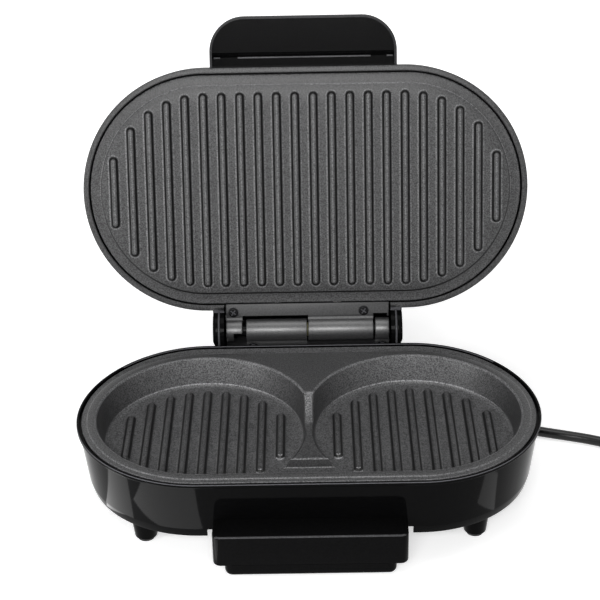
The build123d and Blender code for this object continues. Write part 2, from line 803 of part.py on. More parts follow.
# Base half of the hinge: a panel screwed on the block, with one long barrel
# and one knuckle on webs. The lid's barrel and knuckle turn between them.
bracket_back = block_back - seat_gap
web_front = base_screw_y + hinge_head + barrel_clearance
left_sleeve_end = barrel_middle + bore_length
with BuildPart() as base_hinge_bracket:
    slab(base, -panel_half_width, panel_half_width, base_bracket_front, bracket_back,
         -bracket_underside, -base_bracket_top)
    for start, end in ((-barrel_start, -barrel_middle), (right_knuckle_start, panel_half_width)):
        side_profile(base, start, end,
                     [(web_front, -bracket_underside), (bracket_back, -bracket_underside),
                      (bracket_back, hinge_rise), (web_front, hinge_rise)])
        cross_bar(base, start, end, hinge_reach, hinge_rise, barrel_radius)
    cross_bar(base, -barrel_start, -barrel_start + pin_bite + overrun, hinge_reach,
              hinge_rise, pin_radius + slip, Mode.SUBTRACT)
    cross_bar(base, right_knuckle_start, panel_half_width, hinge_reach, hinge_rise,
              pin_radius, Mode.SUBTRACT)
    cross_bar(base, -left_sleeve_end, -barrel_middle, hinge_reach, hinge_rise,
              sleeve_radius, Mode.SUBTRACT)
    post(base, -lead_hole_x, hinge_reach, -bracket_underside, hinge_rise, lead_hole_radius,
         Mode.SUBTRACT)
    for x, y in hinge_screw_places:
        post(base, x, y, -bracket_underside, -base_bracket_top, hinge_shank + slip,
             Mode.SUBTRACT)
base_hinge_bracket.part.label = "base_hinge_bracket"
export_step(base_hinge_bracket.part, "parts/base_hinge_bracket.step")

with BuildPart() as base_hinge_screws:
    screws(base, hinge_screw_places, -base_bracket_top, -1, hinge_shank - slip,
           bracket_thickness + hinge_screw_bite - 2 * overrun, hinge_head,
           hinge_head_height)
base_hinge_screws.part.label = "base_hinge_screws"
export_step(base_hinge_screws.part, "parts/base_hinge_screws.step")

# Short hinge pins, each pressed in a knuckle and free in a barrel
with BuildPart() as right_hinge_pin:
    cross_bar(base, right_barrel_end - pin_bite, panel_half_width, hinge_reach, hinge_rise,
              pin_radius)
right_hinge_pin.part.label = "right_hinge_pin"
export_step(right_hinge_pin.part, "parts/right_hinge_pin.step")

with BuildPart() as left_hinge_pin:
    cross_bar(base, -panel_half_width, -barrel_start + pin_bite, hinge_reach, hinge_rise,
              pin_radius)
left_hinge_pin.part.label = "left_hinge_pin"
export_step(left_hinge_pin.part, "parts/left_hinge_pin.step")

# The sleeve in the middle of the hinge guides the lid's leads
with BuildPart() as hinge_wire_sleeve:
    cross_bar(base, -sleeve_reach, sleeve_reach, hinge_reach, hinge_rise, sleeve_radius)
    cross_bar(base, -sleeve_reach, sleeve_reach, hinge_reach, hinge_rise, sleeve_bore,
              Mode.SUBTRACT)
hinge_wire_sleeve.part.label = "hinge_wire_sleeve"
export_step(hinge_wire_sleeve.part, "parts/hinge_wire_sleeve.step")

# Thermostat on a pad under the flange, held by a strap on a post
thermostat_top = flange_thickness + thermostat_pad
thermostat_foot = thermostat_top + thermostat_height
with BuildPart() as thermostat:
    post(base, 0, thermostat_y, -thermostat_foot, -thermostat_top, thermostat_radius)
    for hand in (-1, 1):
        slab(base, hand * thermostat_tab_x - thermostat_tab_width / 2,
             hand * thermostat_tab_x + thermostat_tab_width / 2,
             thermostat_y - thermostat_tab / 2, thermostat_y + thermostat_tab / 2,
             -thermostat_foot - thermostat_tab_length, -thermostat_foot)
thermostat.part.label = "thermostat"
export_step(thermostat.part, "parts/thermostat.step")

strap_near = thermostat_y + thermostat_tab
with BuildPart() as thermostat_strap:
    slab(base, -strap_width / 2, strap_width / 2, strap_near,
         thermostat_post_y + clip_boss_radius, -thermostat_foot - strap_thickness,
         -thermostat_foot)
    post(base, 0, thermostat_post_y, -thermostat_foot - strap_thickness, -thermostat_foot,
         small_shank, Mode.SUBTRACT)
    post(base, 0, thermostat_post_y, -thermostat_foot, -thermostat_foot + small_screw_bite,
         small_shank - slip)
    post(base, 0, thermostat_post_y, -thermostat_foot - strap_thickness, -thermostat_foot,
         small_shank)
    post(base, 0, thermostat_post_y, -thermostat_foot - strap_thickness - small_head_height,
         -thermostat_foot - strap_thickness, small_head)
thermostat_strap.part.label = "thermostat_strap"
export_step(thermostat_strap.part, "parts/thermostat_strap.step")

# Terminal block on the cover's panel, inside the hinge block
block_near = terminal_block_y - terminal_block_depth / 2
terminal_top = cover_panel_top - terminal_block_height
way_pitch = terminal_block_length / terminal_ways
way_places = [terminal_block_x + (n - (terminal_ways - 1) / 2) * way_pitch
              for n in range(terminal_ways)]
way_rise = -cover_panel_top + terminal_block_height / 2
with BuildPart() as terminal_block:
    slab(base, terminal_block_x - terminal_block_length / 2,
         terminal_block_x + terminal_block_length / 2, block_near,
         block_near + terminal_block_depth, -cover_panel_top, -terminal_top)
    for x in way_places:
        post(base, x, terminal_block_y, -terminal_top - terminal_way_depth, -terminal_top,
             terminal_way_radius, Mode.SUBTRACT)
        long_bar(base, block_near, block_near + terminal_way_depth, x, way_rise,
                 wire_radius + slip, Mode.SUBTRACT)
terminal_block.part.label = "terminal_block"
export_step(terminal_block.part, "parts/terminal_block.step")

# Wires from the terminal block to the element, the thermostat and the hinge
lead_rise = wire_radius + slip
terminal_tip = element_end - bead_length - terminal_length
wire_floor = element_drop - wire_radius
with BuildPart() as base_wiring:
    for n, hand in ((0, -1), (1, 1)):
        x = way_places[n]
        tip = hand * (terminal_tip + wire_radius)
        wire(base, [(x, block_near + terminal_way_depth, way_rise),
                    (x, block_near - wire_run, way_rise),
                    (tip, element_loop_radius + wire_run, element_drop),
                    (tip, element_loop_radius + terminal_radius, element_drop)],
             wire_radius, wire_bend)
    for hand in (-1, 1):
        wire(base, [(-barrel_middle - wire_radius, hinge_reach,
                     hinge_rise + hand * lead_rise),
                    (-lead_hole_x - hand * lead_rise, hinge_reach,
                     hinge_rise + hand * lead_rise),
                    (-lead_hole_x - hand * lead_rise, hinge_reach, -wire_drop)],
             wire_radius, wire_radius + slip)
base_wiring.part.label = "base_wiring"
export_step(base_wiring.part, "parts/base_wiring.step")

# Lid shell, in the lid's frame. The outer form has a draft and a round top
# edge. The hood behind it covers the hinge between two cheeks.
hood_top = lid_round_height + lid_rim
hood_roof = hood_top - hood_wall
hood_back = hinge_reach + hood_reach
hood_cut_rise = hinge_rise + hood_cut
hood_root = lid_radius - (hood_top - lid_rim) * lid_slope
band_top = lid_rim + lid_band_height
ledge_top = band_top + lid_ledge_thickness
lid_roof = lid_top - lid_wall
lid_screw_places = [(lid_screw_left, lid_screw_y), (lid_screw_right, lid_screw_y)]
lid_handle_screw_rise = ledge_top + handle_screw_head + housing_screw_margin


def lid_reach(rise):
    """Radius of the lid's outside at a level."""
    return lid_radius - (rise - lid_rim) * lid_slope


with BuildPart() as lid_form:
    stadium_block(lid, lid_rim, lid_radius, lid_top, lid_reach(lid_top))
    fillet(rim_face(lid, lid_form, -1).edges(), lid_round)

with BuildPart() as lid_room:
    stadium_block(lid, ledge_top, lid_reach(ledge_top) - lid_wall, lid_roof,
                  lid_reach(lid_roof) - lid_wall)
    fillet(rim_face(lid, lid_room, -1).edges(), lid_round - lid_wall)

with BuildPart() as hood_form:
    with BuildSketch(lid.offset(hinge_rise - hood_reach)) as outline:
        with Locations((0, (hinge_reach + hood_root) / 2)):
            Rectangle(2 * hood_half_width, hinge_reach - hood_root)
        with Locations((0, (hinge_reach + hood_back) / 2)):
            Rectangle(2 * hood_half_width, hood_back - hinge_reach)
        with Locations((0, hood_root - hood_corner / 2)):
            Rectangle(2 * well_reach, hood_corner)
        fillet(outline.vertices().group_by(Axis.Y)[-1], hood_corner)
        fillet(outline.vertices().filter_by_position(Axis.Y, hood_root - slip, hood_root + slip)
               .filter_by_position(Axis.X, -hood_half_width - slip, hood_half_width + slip),
               hood_fillet)
    extrude(amount=hood_top - hinge_rise + hood_reach)
    fillet(rim_face(lid, hood_form, -1).edges().filter_by(
        lambda edge: lid.to_local_coords(edge.center()).Y > hood_root), hood_edge_round)
    with BuildSketch(side(lid, -well_reach)):
        with Locations((hinge_reach, hinge_rise)):
            Circle(hood_reach)
        with BuildLine():
            Polyline((hood_root - hood_corner, lid_rim), (hinge_reach, lid_rim),
                     (hinge_reach, hinge_rise), (hood_back, hinge_rise), (hood_back, hood_top),
                     (hood_root - hood_corner, hood_top), close=True)
        make_face()
    extrude(amount=2 * well_reach, mode=Mode.INTERSECT)

with BuildPart() as lid_shell:
    add(lid_form.part)
    add(hood_form.part)
    add(lid_room.part, mode=Mode.SUBTRACT)
    stadium_block(lid, lid_rim, lid_radius - lid_band, band_top, lid_radius - lid_band,
                  Mode.SUBTRACT)
    stadium_block(lid, band_top, lid_ledge_radius, ledge_top, lid_ledge_radius, Mode.SUBTRACT)
    slab(lid, -cheek_inner, cheek_inner, lid_radius, hood_back - hood_wall,
         hinge_rise - hood_reach, hood_roof, Mode.SUBTRACT)
    slab(lid, -cheek_inner, cheek_inner, hinge_reach, hood_back, hinge_rise - hood_reach,
         hood_cut_rise, Mode.SUBTRACT)
    slab(lid, -cheek_inner, cheek_inner, lid_ledge_radius - overrun, lid_radius,
         lid_rim, doorway_top, Mode.SUBTRACT)
    for x, y in lid_screw_places:
        post(lid, x, y, lid_bracket_back, hood_roof, hinge_boss_radius)
        post(lid, x, y, lid_bracket_back, lid_bracket_back + hinge_screw_bite, hinge_shank,
             Mode.SUBTRACT)
    for hand in (-1, 1):
        post(lid, hand * well_reach, 0, upper_shield_level + shield_thickness, lid_roof,
             case_tower_radius)
        post(lid, hand * lamp_x, lamp_y, lid_roof, lid_top, lens_radius + slip, Mode.SUBTRACT)
        long_bar(lid, -lid_radius, -lid_handle_screw_seat, hand * handle_screw_x,
                 lid_handle_screw_rise, small_shank + slip, Mode.SUBTRACT)
    long_bar(lid, lid_ledge_radius, lid_radius, lead_hole_x, lid_wire_rise,
             lead_hole_radius + lead_rise, Mode.SUBTRACT)
lid_shell.part.label = "lid_shell"
export_step(lid_shell.part, "parts/lid_shell.step")

# Upper cooking plate: a flat casting with a raised pad and one long row of
# ribs. Front hooks rest on the shell's ledge, the hinge tongue holds the back.
pad_face = upper_face - upper_pad_step
lid_rib_count = 2 * round((well_reach + lid_rib_reach) / rib_pitch)
lid_rib_places = []
for n in range(lid_rib_count):
    x = (n - (lid_rib_count - 1) / 2) * rib_pitch
    beyond = max(abs(x) - well_reach, 0)
    lid_rib_places.append((x, sqrt(lid_rib_reach ** 2 - beyond ** 2)))
hook_outer = lid_ledge_radius - hook_clearance
hook_top = ledge_top + seat_gap + hook_thickness
with BuildPart() as upper_cooking_plate:
    stadium_block(lid, upper_face, flange_radius, upper_back, flange_radius)
    stadium_block(lid, pad_face, upper_pad_radius, upper_face, upper_pad_radius)
    rib_rows(lid, pad_face, lid_rib_places, -rib_height)
    for x, y in clip_screw_places:
        post(lid, x, y, upper_back, upper_clip_level, clip_boss_radius)
        post(lid, x, y, upper_clip_level - small_screw_bite, upper_clip_level, small_shank,
             Mode.SUBTRACT)
    for hand in (-1, 1):
        post(lid, hand * well_reach, 0, upper_back, upper_shield_level, case_boss_radius)
        post(lid, hand * tongue_screw_x, tongue_screw_y, upper_back,
             upper_back + tongue_thickness, tongue_boss_radius)
        post(lid, hand * tongue_screw_x, tongue_screw_y, upper_back - overrun,
             upper_back + tongue_thickness, small_shank, Mode.SUBTRACT)
        left = hand * hook_x - hook_width / 2
        slab(lid, left, left + hook_width, -hook_outer, -hook_outer + hook_wall, upper_back,
             hook_top)
        slab(lid, left, left + hook_width, -hook_outer - hook_overhang, -hook_outer,
             hook_top - hook_thickness, hook_top)
upper_cooking_plate.part.label = "upper_cooking_plate"
export_step(upper_cooking_plate.part, "parts/upper_cooking_plate.step")

with BuildPart() as upper_plate_screws:
    screws(lid, [(-tongue_screw_x, tongue_screw_y), (tongue_screw_x, tongue_screw_y)],
           upper_back + tongue_thickness, -1, small_shank - slip, tongue_thickness,
           tongue_head, small_head_height)
upper_plate_screws.part.label = "upper_plate_screws"
export_step(upper_plate_screws.part, "parts/upper_plate_screws.step")

with BuildPart() as upper_heating_element:
    element_tube(lid, upper_element_rise)
upper_heating_element.part.label = "upper_heating_element"
export_step(upper_heating_element.part, "parts/upper_heating_element.step")

with BuildPart() as upper_element_terminals:
    element_terminals(lid, upper_element_rise)
upper_element_terminals.part.label = "upper_element_terminals"
export_step(upper_element_terminals.part, "parts/upper_element_terminals.step")

with BuildPart() as upper_element_clips:
    clips(lid, upper_clip_level, upper_clip_level + clip_thickness)
upper_element_clips.part.label = "upper_element_clips"
export_step(upper_element_clips.part, "parts/upper_element_clips.step")

with BuildPart() as upper_clip_screws:
    screws(lid, clip_screw_places, upper_clip_level + clip_thickness, -1,
           small_shank - slip, clip_thickness + small_screw_bite - overrun, small_head,
           small_head_height)
upper_clip_screws.part.label = "upper_clip_screws"
export_step(upper_clip_screws.part, "parts/upper_clip_screws.step")

# Upper heat shield, clamped between the plate's posts and the shell's towers
upper_shield_top = upper_shield_level + shield_thickness
with BuildPart() as upper_heat_shield:
    stadium_block(lid, upper_shield_level, shield_radius, upper_shield_top, shield_radius)
    ring_slot(lid, upper_shield_top - shield_rim, upper_shield_top, shield_radius,
              shield_radius - shield_thickness)
upper_heat_shield.part.label = "upper_heat_shield"
export_step(upper_heat_shield.part, "parts/upper_heat_shield.step")

# Lid handle: a wide scoop that follows the shell. Its underside has a shallow
# panel inside a thin rim, then a slope into a deep pocket beside the shell.
lid_handle_half = lid_handle_width / 2
room_half = lid_handle_half - lid_handle_wall
pocket_top = lid_handle_bottom + lid_neck_depth
panel_top = lid_handle_bottom + lid_handle_insert_depth
with BuildPart() as lid_handle:
    slab(lid, -lid_handle_half, lid_handle_half, -lid_handle_front, -lid_ledge_radius,
         lid_handle_bottom, lid_handle_top, corner=lid_handle_corner)
    fillet(rim_face(lid, lid_handle, -1).edges().filter_by(
        lambda edge: lid.to_local_coords(edge.center()).Y < -lid_ledge_radius - overrun),
        lid_handle_edge_round)
    add(lid_form.part, mode=Mode.SUBTRACT)
    slab(lid, -room_half, room_half, -lid_handle_front + lid_handle_wall, -lid_neck_front,
         lid_handle_bottom, panel_top, Mode.SUBTRACT,
         corner=lid_handle_corner - lid_handle_wall)
    side_profile(lid, -room_half, room_half,
                 [(-lid_neck_front, lid_handle_bottom), (-lid_neck_front, panel_top),
                  (-lid_neck_back, pocket_top), (-lid_ledge_radius, pocket_top),
                  (-lid_ledge_radius, lid_handle_bottom)], Mode.SUBTRACT)
    for hand in (-1, 1):
        long_bar(lid, -lid_handle_screw_seat - handle_screw_length - overrun,
                 -lid_ledge_radius, hand * handle_screw_x, lid_handle_screw_rise,
                 small_shank, Mode.SUBTRACT)
lid_handle.part.label = "lid_handle"
export_step(lid_handle.part, "parts/lid_handle.step")

with BuildPart() as lid_handle_screws:
    for hand in (-1, 1):
        x = hand * handle_screw_x
        long_bar(lid, -lid_handle_screw_seat - handle_screw_length, -lid_handle_screw_seat, x,
                 lid_handle_screw_rise, small_shank - slip)
        long_bar(lid, -lid_handle_screw_seat, -lid_handle_screw_seat + small_head_height, x,
                 lid_handle_screw_rise, handle_screw_head)
lid_handle_screws.part.label = "lid_handle_screws"
export_step(lid_handle_screws.part, "parts/lid_handle_screws.step")

# Lid half of the hinge: a stepped panel that passes round the base's barrels,
# with a tongue over the back of the upper plate.
panel_back = hinge_reach - barrel_radius - panel_gap
tongue_back = lid_bracket_front + bracket_thickness
with BuildPart() as lid_hinge_bracket:
    slab(lid, -panel_half_width, panel_half_width, lid_bracket_front, panel_back,
         lid_bracket_face, lid_bracket_back)
    for start, end in ((-panel_half_width, -left_knuckle_end), (barrel_middle, right_barrel_end)):
        slab(lid, start, end, lid_bracket_front, hinge_reach, lid_bracket_face,
             lid_bracket_back)
        cross_bar(lid, start, end, hinge_reach, hinge_rise, barrel_radius)
    slab(lid, -tongue_half_width, tongue_half_width, lid_bracket_front, tongue_back,
         lid_bracket_face, upper_back + tongue_thickness)
    slab(lid, -tongue_half_width, tongue_half_width, tongue_front, tongue_back, upper_back,
         upper_back + tongue_thickness)
    slab(base, -panel_half_width, -panel_half_width + knuckle_notch_width,
         hinge_reach - barrel_radius, hinge_reach + barrel_radius,
         hinge_rise - barrel_radius, hinge_rise - pin_radius - overrun, Mode.SUBTRACT)
    for hand in (-1, 1):
        post(lid, hand * tongue_screw_x, tongue_screw_y, upper_back,
             upper_back + tongue_thickness, tongue_boss_radius + slip, Mode.SUBTRACT)
    for x, y in lid_screw_places:
        post(lid, x, y, lid_bracket_face, lid_bracket_back, hinge_shank + slip,
             Mode.SUBTRACT)
    cross_bar(lid, -panel_half_width, -left_knuckle_end, hinge_reach, hinge_rise, pin_radius,
              Mode.SUBTRACT)
    cross_bar(lid, right_barrel_end - pin_bite - overrun, right_barrel_end, hinge_reach,
              hinge_rise, pin_radius + slip, Mode.SUBTRACT)
    cross_bar(lid, barrel_middle, left_sleeve_end, hinge_reach, hinge_rise,
              sleeve_radius + slip, Mode.SUBTRACT)
    post(lid, lead_hole_x, hinge_reach, hinge_rise, hinge_rise + barrel_radius,
         lead_hole_radius, Mode.SUBTRACT)
lid_hinge_bracket.part.label = "lid_hinge_bracket"
export_step(lid_hinge_bracket.part, "parts/lid_hinge_bracket.step")

with BuildPart() as lid_hinge_screws:
    screws(lid, lid_screw_places, lid_bracket_face, 1, hinge_shank - slip,
           bracket_thickness + hinge_screw_bite - 2 * overrun, hinge_head, hinge_head_height)
lid_hinge_screws.part.label = "lid_hinge_screws"
export_step(lid_hinge_screws.part, "parts/lid_hinge_screws.step")

# Two lamps in the lid's top: lenses with a flange, and one holder below them
lens_seat = lid_roof - lens_flange
for name, hand in (("power_lamp_lens", -1), ("ready_lamp_lens", 1)):
    with BuildPart() as lens:
        post(lid, hand * lamp_x, lamp_y, lens_seat, lid_roof, lens_flange_radius)
        post(lid, hand * lamp_x, lamp_y, lid_roof, lid_top + lens_dome, lens_radius)
        fillet(rim_face(lid, lens, -1).edges(), lens_dome - slip)
    lens.part.label = name
    export_step(lens.part, "parts/" + name + ".step")

with BuildPart() as lamp_holder:
    slab(lid, -lamp_holder_width / 2, lamp_holder_width / 2, lamp_y - lamp_holder_depth / 2,
         lamp_y + lamp_holder_depth / 2, lens_seat - lamp_holder_height, lens_seat)
lamp_holder.part.label = "lamp_holder"
export_step(lamp_holder.part, "parts/lamp_holder.step")

# Leads from the hinge to the upper element
with BuildPart() as lid_wiring:
    for hand in (-1, 1):
        x = lead_hole_x + hand * lead_rise
        tip = hand * (terminal_tip + wire_radius)
        wire(lid, [(barrel_middle + wire_radius, hinge_reach, hinge_rise - hand * lead_rise),
                   (x, hinge_reach, hinge_rise - hand * lead_rise),
                   (x, hinge_reach, lid_wire_rise),
                   (x, lid_ledge_radius - wire_run, lid_wire_rise),
                   (tip, element_loop_radius + wire_run, upper_element_rise),
                   (tip, element_loop_radius + terminal_radius, upper_element_rise)],
             wire_radius, wire_radius + slip)
lid_wiring.part.label = "lid_wiring"
export_step(lid_wiring.part, "parts/lid_wiring.step")

# Power cord: strain relief in the hinge block's right side, a clamp inside,
# the free run, a coil in two layers, and a moulded plug.
cord_radius = cord_diameter / 2
cord_level = cord_radius - flange_height
sweep_share = 0.45
with BuildPart() as cord_bushing:
    cross_bar(base, block_half_width - housing_wall - bushing_flange,
              block_half_width - housing_wall, cord_exit_y, -cord_exit_drop,
              bushing_flange_radius)
    cross_bar(base, block_half_width - housing_wall, block_half_width, cord_exit_y,
              -cord_exit_drop, bushing_root_radius)
    with BuildSketch(side(base, block_half_width)):
        with Locations((cord_exit_y, -cord_exit_drop)):
            Circle(bushing_root_radius)
    extrude(amount=bushing_length,
            taper=degrees(atan((bushing_root_radius - bushing_tip_radius) / bushing_length)))
    for n in range(bushing_grooves):
        start = block_half_width + bushing_groove_start + n * bushing_groove_pitch
        with BuildSketch(side(base, start)):
            with Locations((cord_exit_y, -cord_exit_drop)):
                Circle(bushing_flange_radius)
                Circle(bushing_tip_radius - bushing_groove_depth, mode=Mode.SUBTRACT)
        extrude(amount=bushing_groove_width, mode=Mode.SUBTRACT)
    cross_bar(base, block_half_width - housing_wall - bushing_flange,
              block_half_width + bushing_length, cord_exit_y, -cord_exit_drop, cord_radius,
              Mode.SUBTRACT)
cord_bushing.part.label = "cord_bushing"
export_step(cord_bushing.part, "parts/cord_bushing.step")

with BuildPart() as cord_clamp:
    slab(base, cord_clamp_x - clamp_length / 2, cord_clamp_x + clamp_length / 2,
         cord_exit_y - clamp_width / 2, cord_exit_y + clamp_width / 2,
         -cover_panel_top, -cord_exit_drop + cord_radius + clamp_cap)
    cross_bar(base, cord_clamp_x - clamp_length / 2, cord_clamp_x + clamp_length / 2,
              cord_exit_y, -cord_exit_drop, cord_radius, Mode.SUBTRACT)
cord_clamp.part.label = "cord_clamp"
export_step(cord_clamp.part, "parts/cord_clamp.step")

# The free run. It leaves level, falls to the counter and turns to the coil.
cord_start = cord_clamp_x - clamp_length / 2 - cord_radius
cord_points = [(cord_start, cord_exit_y, -cord_exit_drop),
               (block_half_width + cord_straight, cord_exit_y, -cord_exit_drop),
               (112.0, 69.0, -37.0),
               (138.4, 51.4, cord_level),
               (163.0, 43.3, cord_level),
               (183.0, 34.5, cord_level),
               (coil_start_x, 15.0, cord_level),
               (coil_start_x, coil_start_y, cord_level)]
cord_runs = [Vector(b) - Vector(a) for a, b in zip(cord_points, cord_points[1:])]
cord_turns = [a.get_angle(b) for a, b in zip(cord_runs, cord_runs[1:])]
cord_radii = [sweep_share * min(a.length, b.length) / tan(radians(t) / 2)
              for a, b, t in zip(cord_runs, cord_runs[1:], cord_turns)]
print("cord runs", [round(run.length, 1) for run in cord_runs])
print("cord turns", [round(t, 1) for t in cord_turns])
print("cord radii", [round(r, 1) for r in cord_radii])

with BuildPart() as power_cord:
    with BuildLine(base) as cord_path:
        FilletPolyline(*cord_points, radius=cord_radii)
    with BuildSketch(side(base, cord_start)):
        with Locations((cord_exit_y, -cord_exit_drop)):
            Circle(cord_radius)
    sweep(path=cord_path.line)
power_cord.part.label = "power_cord"
export_step(power_cord.part, "parts/power_cord.step")
cord_length = sum(edge.length for edge in cord_path.edges())
cord_volume = pi * cord_radius ** 2 * cord_length
print("cord length", round(cord_length, 1), "tube volume over section times length",
      round(power_cord.part.volume / cord_volume, 4))

# The coil. Half turns wind in on the counter, one half turn climbs inside,
# and half turns wind out again on top of them.
coil_step = (cord_diameter + coil_gap) / 2
coil_rise = cord_diameter + coil_gap
half_turns = round(2 * coil_turns_per_layer)
coil_width = 2 * coil_outer_radius + 2 * coil_step
coil_y = coil_start_y - coil_lead
line_y = centre_y + coil_y
with BuildPart() as cord_coil:
    with BuildLine() as coil_path:
        x, hand, level = coil_start_x, 1, cord_radius
        Line((x, line_y + coil_lead, level), (x, line_y, level))
        for n in range(2 * half_turns + 1):
            inward = min(n, 2 * half_turns - n)
            radius = coil_outer_radius - coil_step * inward
            if n == half_turns:
                reach = sqrt(radius ** 2 + (coil_rise / 2) ** 2)
                middle = (x + hand * radius, line_y - hand * reach, level + coil_rise / 2)
                TangentArc((x, line_y, level), middle, tangent=(0, -hand, 0))
                TangentArc(middle, (x + 2 * hand * radius, line_y, level + coil_rise),
                           tangent=(hand * radius, 0, coil_rise / 2))
                level = level + coil_rise
            else:
                TangentArc((x, line_y, level), (x + 2 * hand * radius, line_y, level),
                           tangent=(0, -hand, 0))
            x = x + 2 * hand * radius
            hand = -hand
        Line((x, line_y, level), (x, line_y + coil_tail, level))
    with BuildSketch(front(base, coil_start_y)):
        with Locations((coil_start_x, cord_level)):
            Circle(cord_radius)
    sweep(path=coil_path.line)
cord_coil.part.label = "cord_coil"
export_step(cord_coil.part, "parts/cord_coil.step")

# Least gap of the coil to itself, on points along its centre line
coil_trail = []
coil_distance = 0
for edge in coil_path.edges():
    steps = ceil(edge.length / cord_radius)
    for n in range(steps):
        coil_trail.append((coil_distance + edge.length * n / steps, edge @ (n / steps)))
    coil_distance = coil_distance + edge.length
coil_gaps = [(a[1] - b[1]).length - cord_diameter for n, a in enumerate(coil_trail)
             for b in coil_trail[n + 1:] if b[0] - a[0] > coil_outer_radius]
coil_volume = pi * cord_radius ** 2 * coil_distance
print("coil length", round(coil_distance, 1), "least gap", round(min(coil_gaps), 2),
      "tube volume over section times length", round(cord_coil.part.volume / coil_volume, 4))

# The plug lies flat on the counter beside the coil
plug_x = coil_start_x + coil_width
plug_start = coil_y + coil_tail
plug_back = plug_start + plug_neck_length
plug_front = plug_back + plug_length
plug_level = cord_level + coil_rise
plug_half = plug_level + flange_height
with BuildPart() as mains_plug:
    slab(base, plug_x - plug_width / 2, plug_x + plug_width / 2, plug_back, plug_front,
         plug_level - plug_half, plug_level + plug_half)
    fillet(mains_plug.edges().filter_by(Axis.Y), plug_round)
    fillet(mains_plug.edges().group_by(Axis.Y)[0], plug_round - overrun)
    with BuildSketch(front(base, plug_back)):
        with Locations((plug_x, plug_level)):
            Circle(plug_neck_radius)
    extrude(amount=plug_neck_length,
            taper=degrees(atan((plug_neck_radius - bushing_tip_radius) / plug_neck_length)))
    for hand in (-1, 1):
        x = plug_x + hand * blade_spacing / 2
        slab(base, x - blade_thickness / 2, x + blade_thickness / 2,
             plug_front - blade_root, plug_front, plug_level - blade_width / 2,
             plug_level + blade_width / 2, Mode.SUBTRACT)
mains_plug.part.label = "mains_plug"
export_step(mains_plug.part, "parts/mains_plug.step")

with BuildPart() as plug_blades:
    for hand in (-1, 1):
        x = plug_x + hand * blade_spacing / 2
        slab(base, x - blade_thickness / 2, x + blade_thickness / 2,
             plug_front - blade_root, plug_front + blade_length, plug_level - blade_width / 2,
             plug_level + blade_width / 2)
        cross_bar(base, x - blade_thickness / 2, x + blade_thickness / 2,
                  plug_front + blade_length - blade_hole_inset, plug_level,
                  blade_hole_radius, Mode.SUBTRACT)
plug_blades.part.label = "plug_blades"
export_step(plug_blades.part, "parts/plug_blades.step")
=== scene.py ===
# %% [markdown]
# # A hamburger maker with its lid open
# The real object is a small electric grill for two burgers. Its base and lid are
# gloss black shells on the same outline: two round ends joined by straight sides.
# We load the engineering model first. It fixes where each piece is, so every
# piece that we model here is drawn in the same place and at the same size.

# %% Load the frame
import json
from math import asin, cos, degrees, pi, radians, sin, sqrt

import bpy
import bmesh
from mathutils import Matrix, Vector


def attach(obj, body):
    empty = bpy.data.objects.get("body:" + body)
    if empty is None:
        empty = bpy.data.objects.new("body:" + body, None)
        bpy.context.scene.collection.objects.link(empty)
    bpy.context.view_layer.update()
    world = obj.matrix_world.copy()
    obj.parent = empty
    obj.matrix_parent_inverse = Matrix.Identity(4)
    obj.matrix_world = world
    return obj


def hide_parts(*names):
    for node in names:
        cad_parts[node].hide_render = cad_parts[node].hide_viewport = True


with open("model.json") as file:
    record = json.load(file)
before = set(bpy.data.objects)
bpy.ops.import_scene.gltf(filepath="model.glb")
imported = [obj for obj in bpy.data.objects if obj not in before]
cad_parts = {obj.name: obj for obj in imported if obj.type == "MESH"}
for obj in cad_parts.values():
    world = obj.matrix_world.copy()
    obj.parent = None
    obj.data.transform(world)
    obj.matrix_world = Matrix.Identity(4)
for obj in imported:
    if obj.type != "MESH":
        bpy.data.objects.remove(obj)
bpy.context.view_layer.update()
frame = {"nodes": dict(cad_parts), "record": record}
nodes = frame["nodes"]

# %% [markdown]
# ## Two drawing boards
# Base pieces are drawn round the top face of the lower plate. Lid pieces are
# drawn as if the lid were closed, and a matrix then turns them about the hinge.
# That way a lid size can be read straight from the closed object.

# %% Drawing boards for the base and the lid
MM = 0.001
CENTRE_Y = -38.0731           # the plates' middle line, in the frame
FLANGE = 52.5                 # the lower plate's top face, above the counter
HINGE_Y, HINGE_Z = 83.7, 4.3  # the hinge's axis, from the middle line and the flange
OPEN = radians(107.5)         # the lid's turn from closed to open
WELL_X = 58.3                 # the middle of each pan and of each round end

base_board = Matrix.Translation((0, CENTRE_Y * MM, FLANGE * MM))
hinge = Vector((0, (CENTRE_Y + HINGE_Y) * MM, (FLANGE + HINGE_Z) * MM))
lid_back = Vector((0, cos(OPEN), -sin(OPEN)))
lid_up = Vector((0, sin(OPEN), cos(OPEN)))
lid_origin = hinge - lid_back * HINGE_Y * MM - lid_up * HINGE_Z * MM
lid_board = Matrix(((1, 0, 0, lid_origin.x),
                    (0, lid_back.y, lid_up.y, lid_origin.y),
                    (0, lid_back.z, lid_up.z, lid_origin.z),
                    (0, 0, 0, 1)))
print("hinge", tuple(hinge))

# %% [markdown]
# ## The camera
# The camera stands where the photographer stood. It could be placed by eye, but
# its place and lens can be worked out from the outlines of the two plates, whose
# true shapes are known.

# %% Camera
yaw, pitch, roll = -0.008, 0.502, -0.020
focal_pixels, picture_pixels = 1721.77, 600
EYE_X, EYE_BACK, EYE_RISE = 2.885, 804.10, 511.44
ahead = Vector((sin(yaw) * cos(pitch), cos(yaw) * cos(pitch), -sin(pitch)))
level_right = Vector((cos(yaw), -sin(yaw), 0))
level_up = level_right.cross(ahead)
right = level_right * cos(roll) + level_up * sin(roll)
up = level_up * cos(roll) - level_right * sin(roll)
eye = Vector((EYE_X, CENTRE_Y - EYE_BACK, FLANGE + EYE_RISE)) * MM

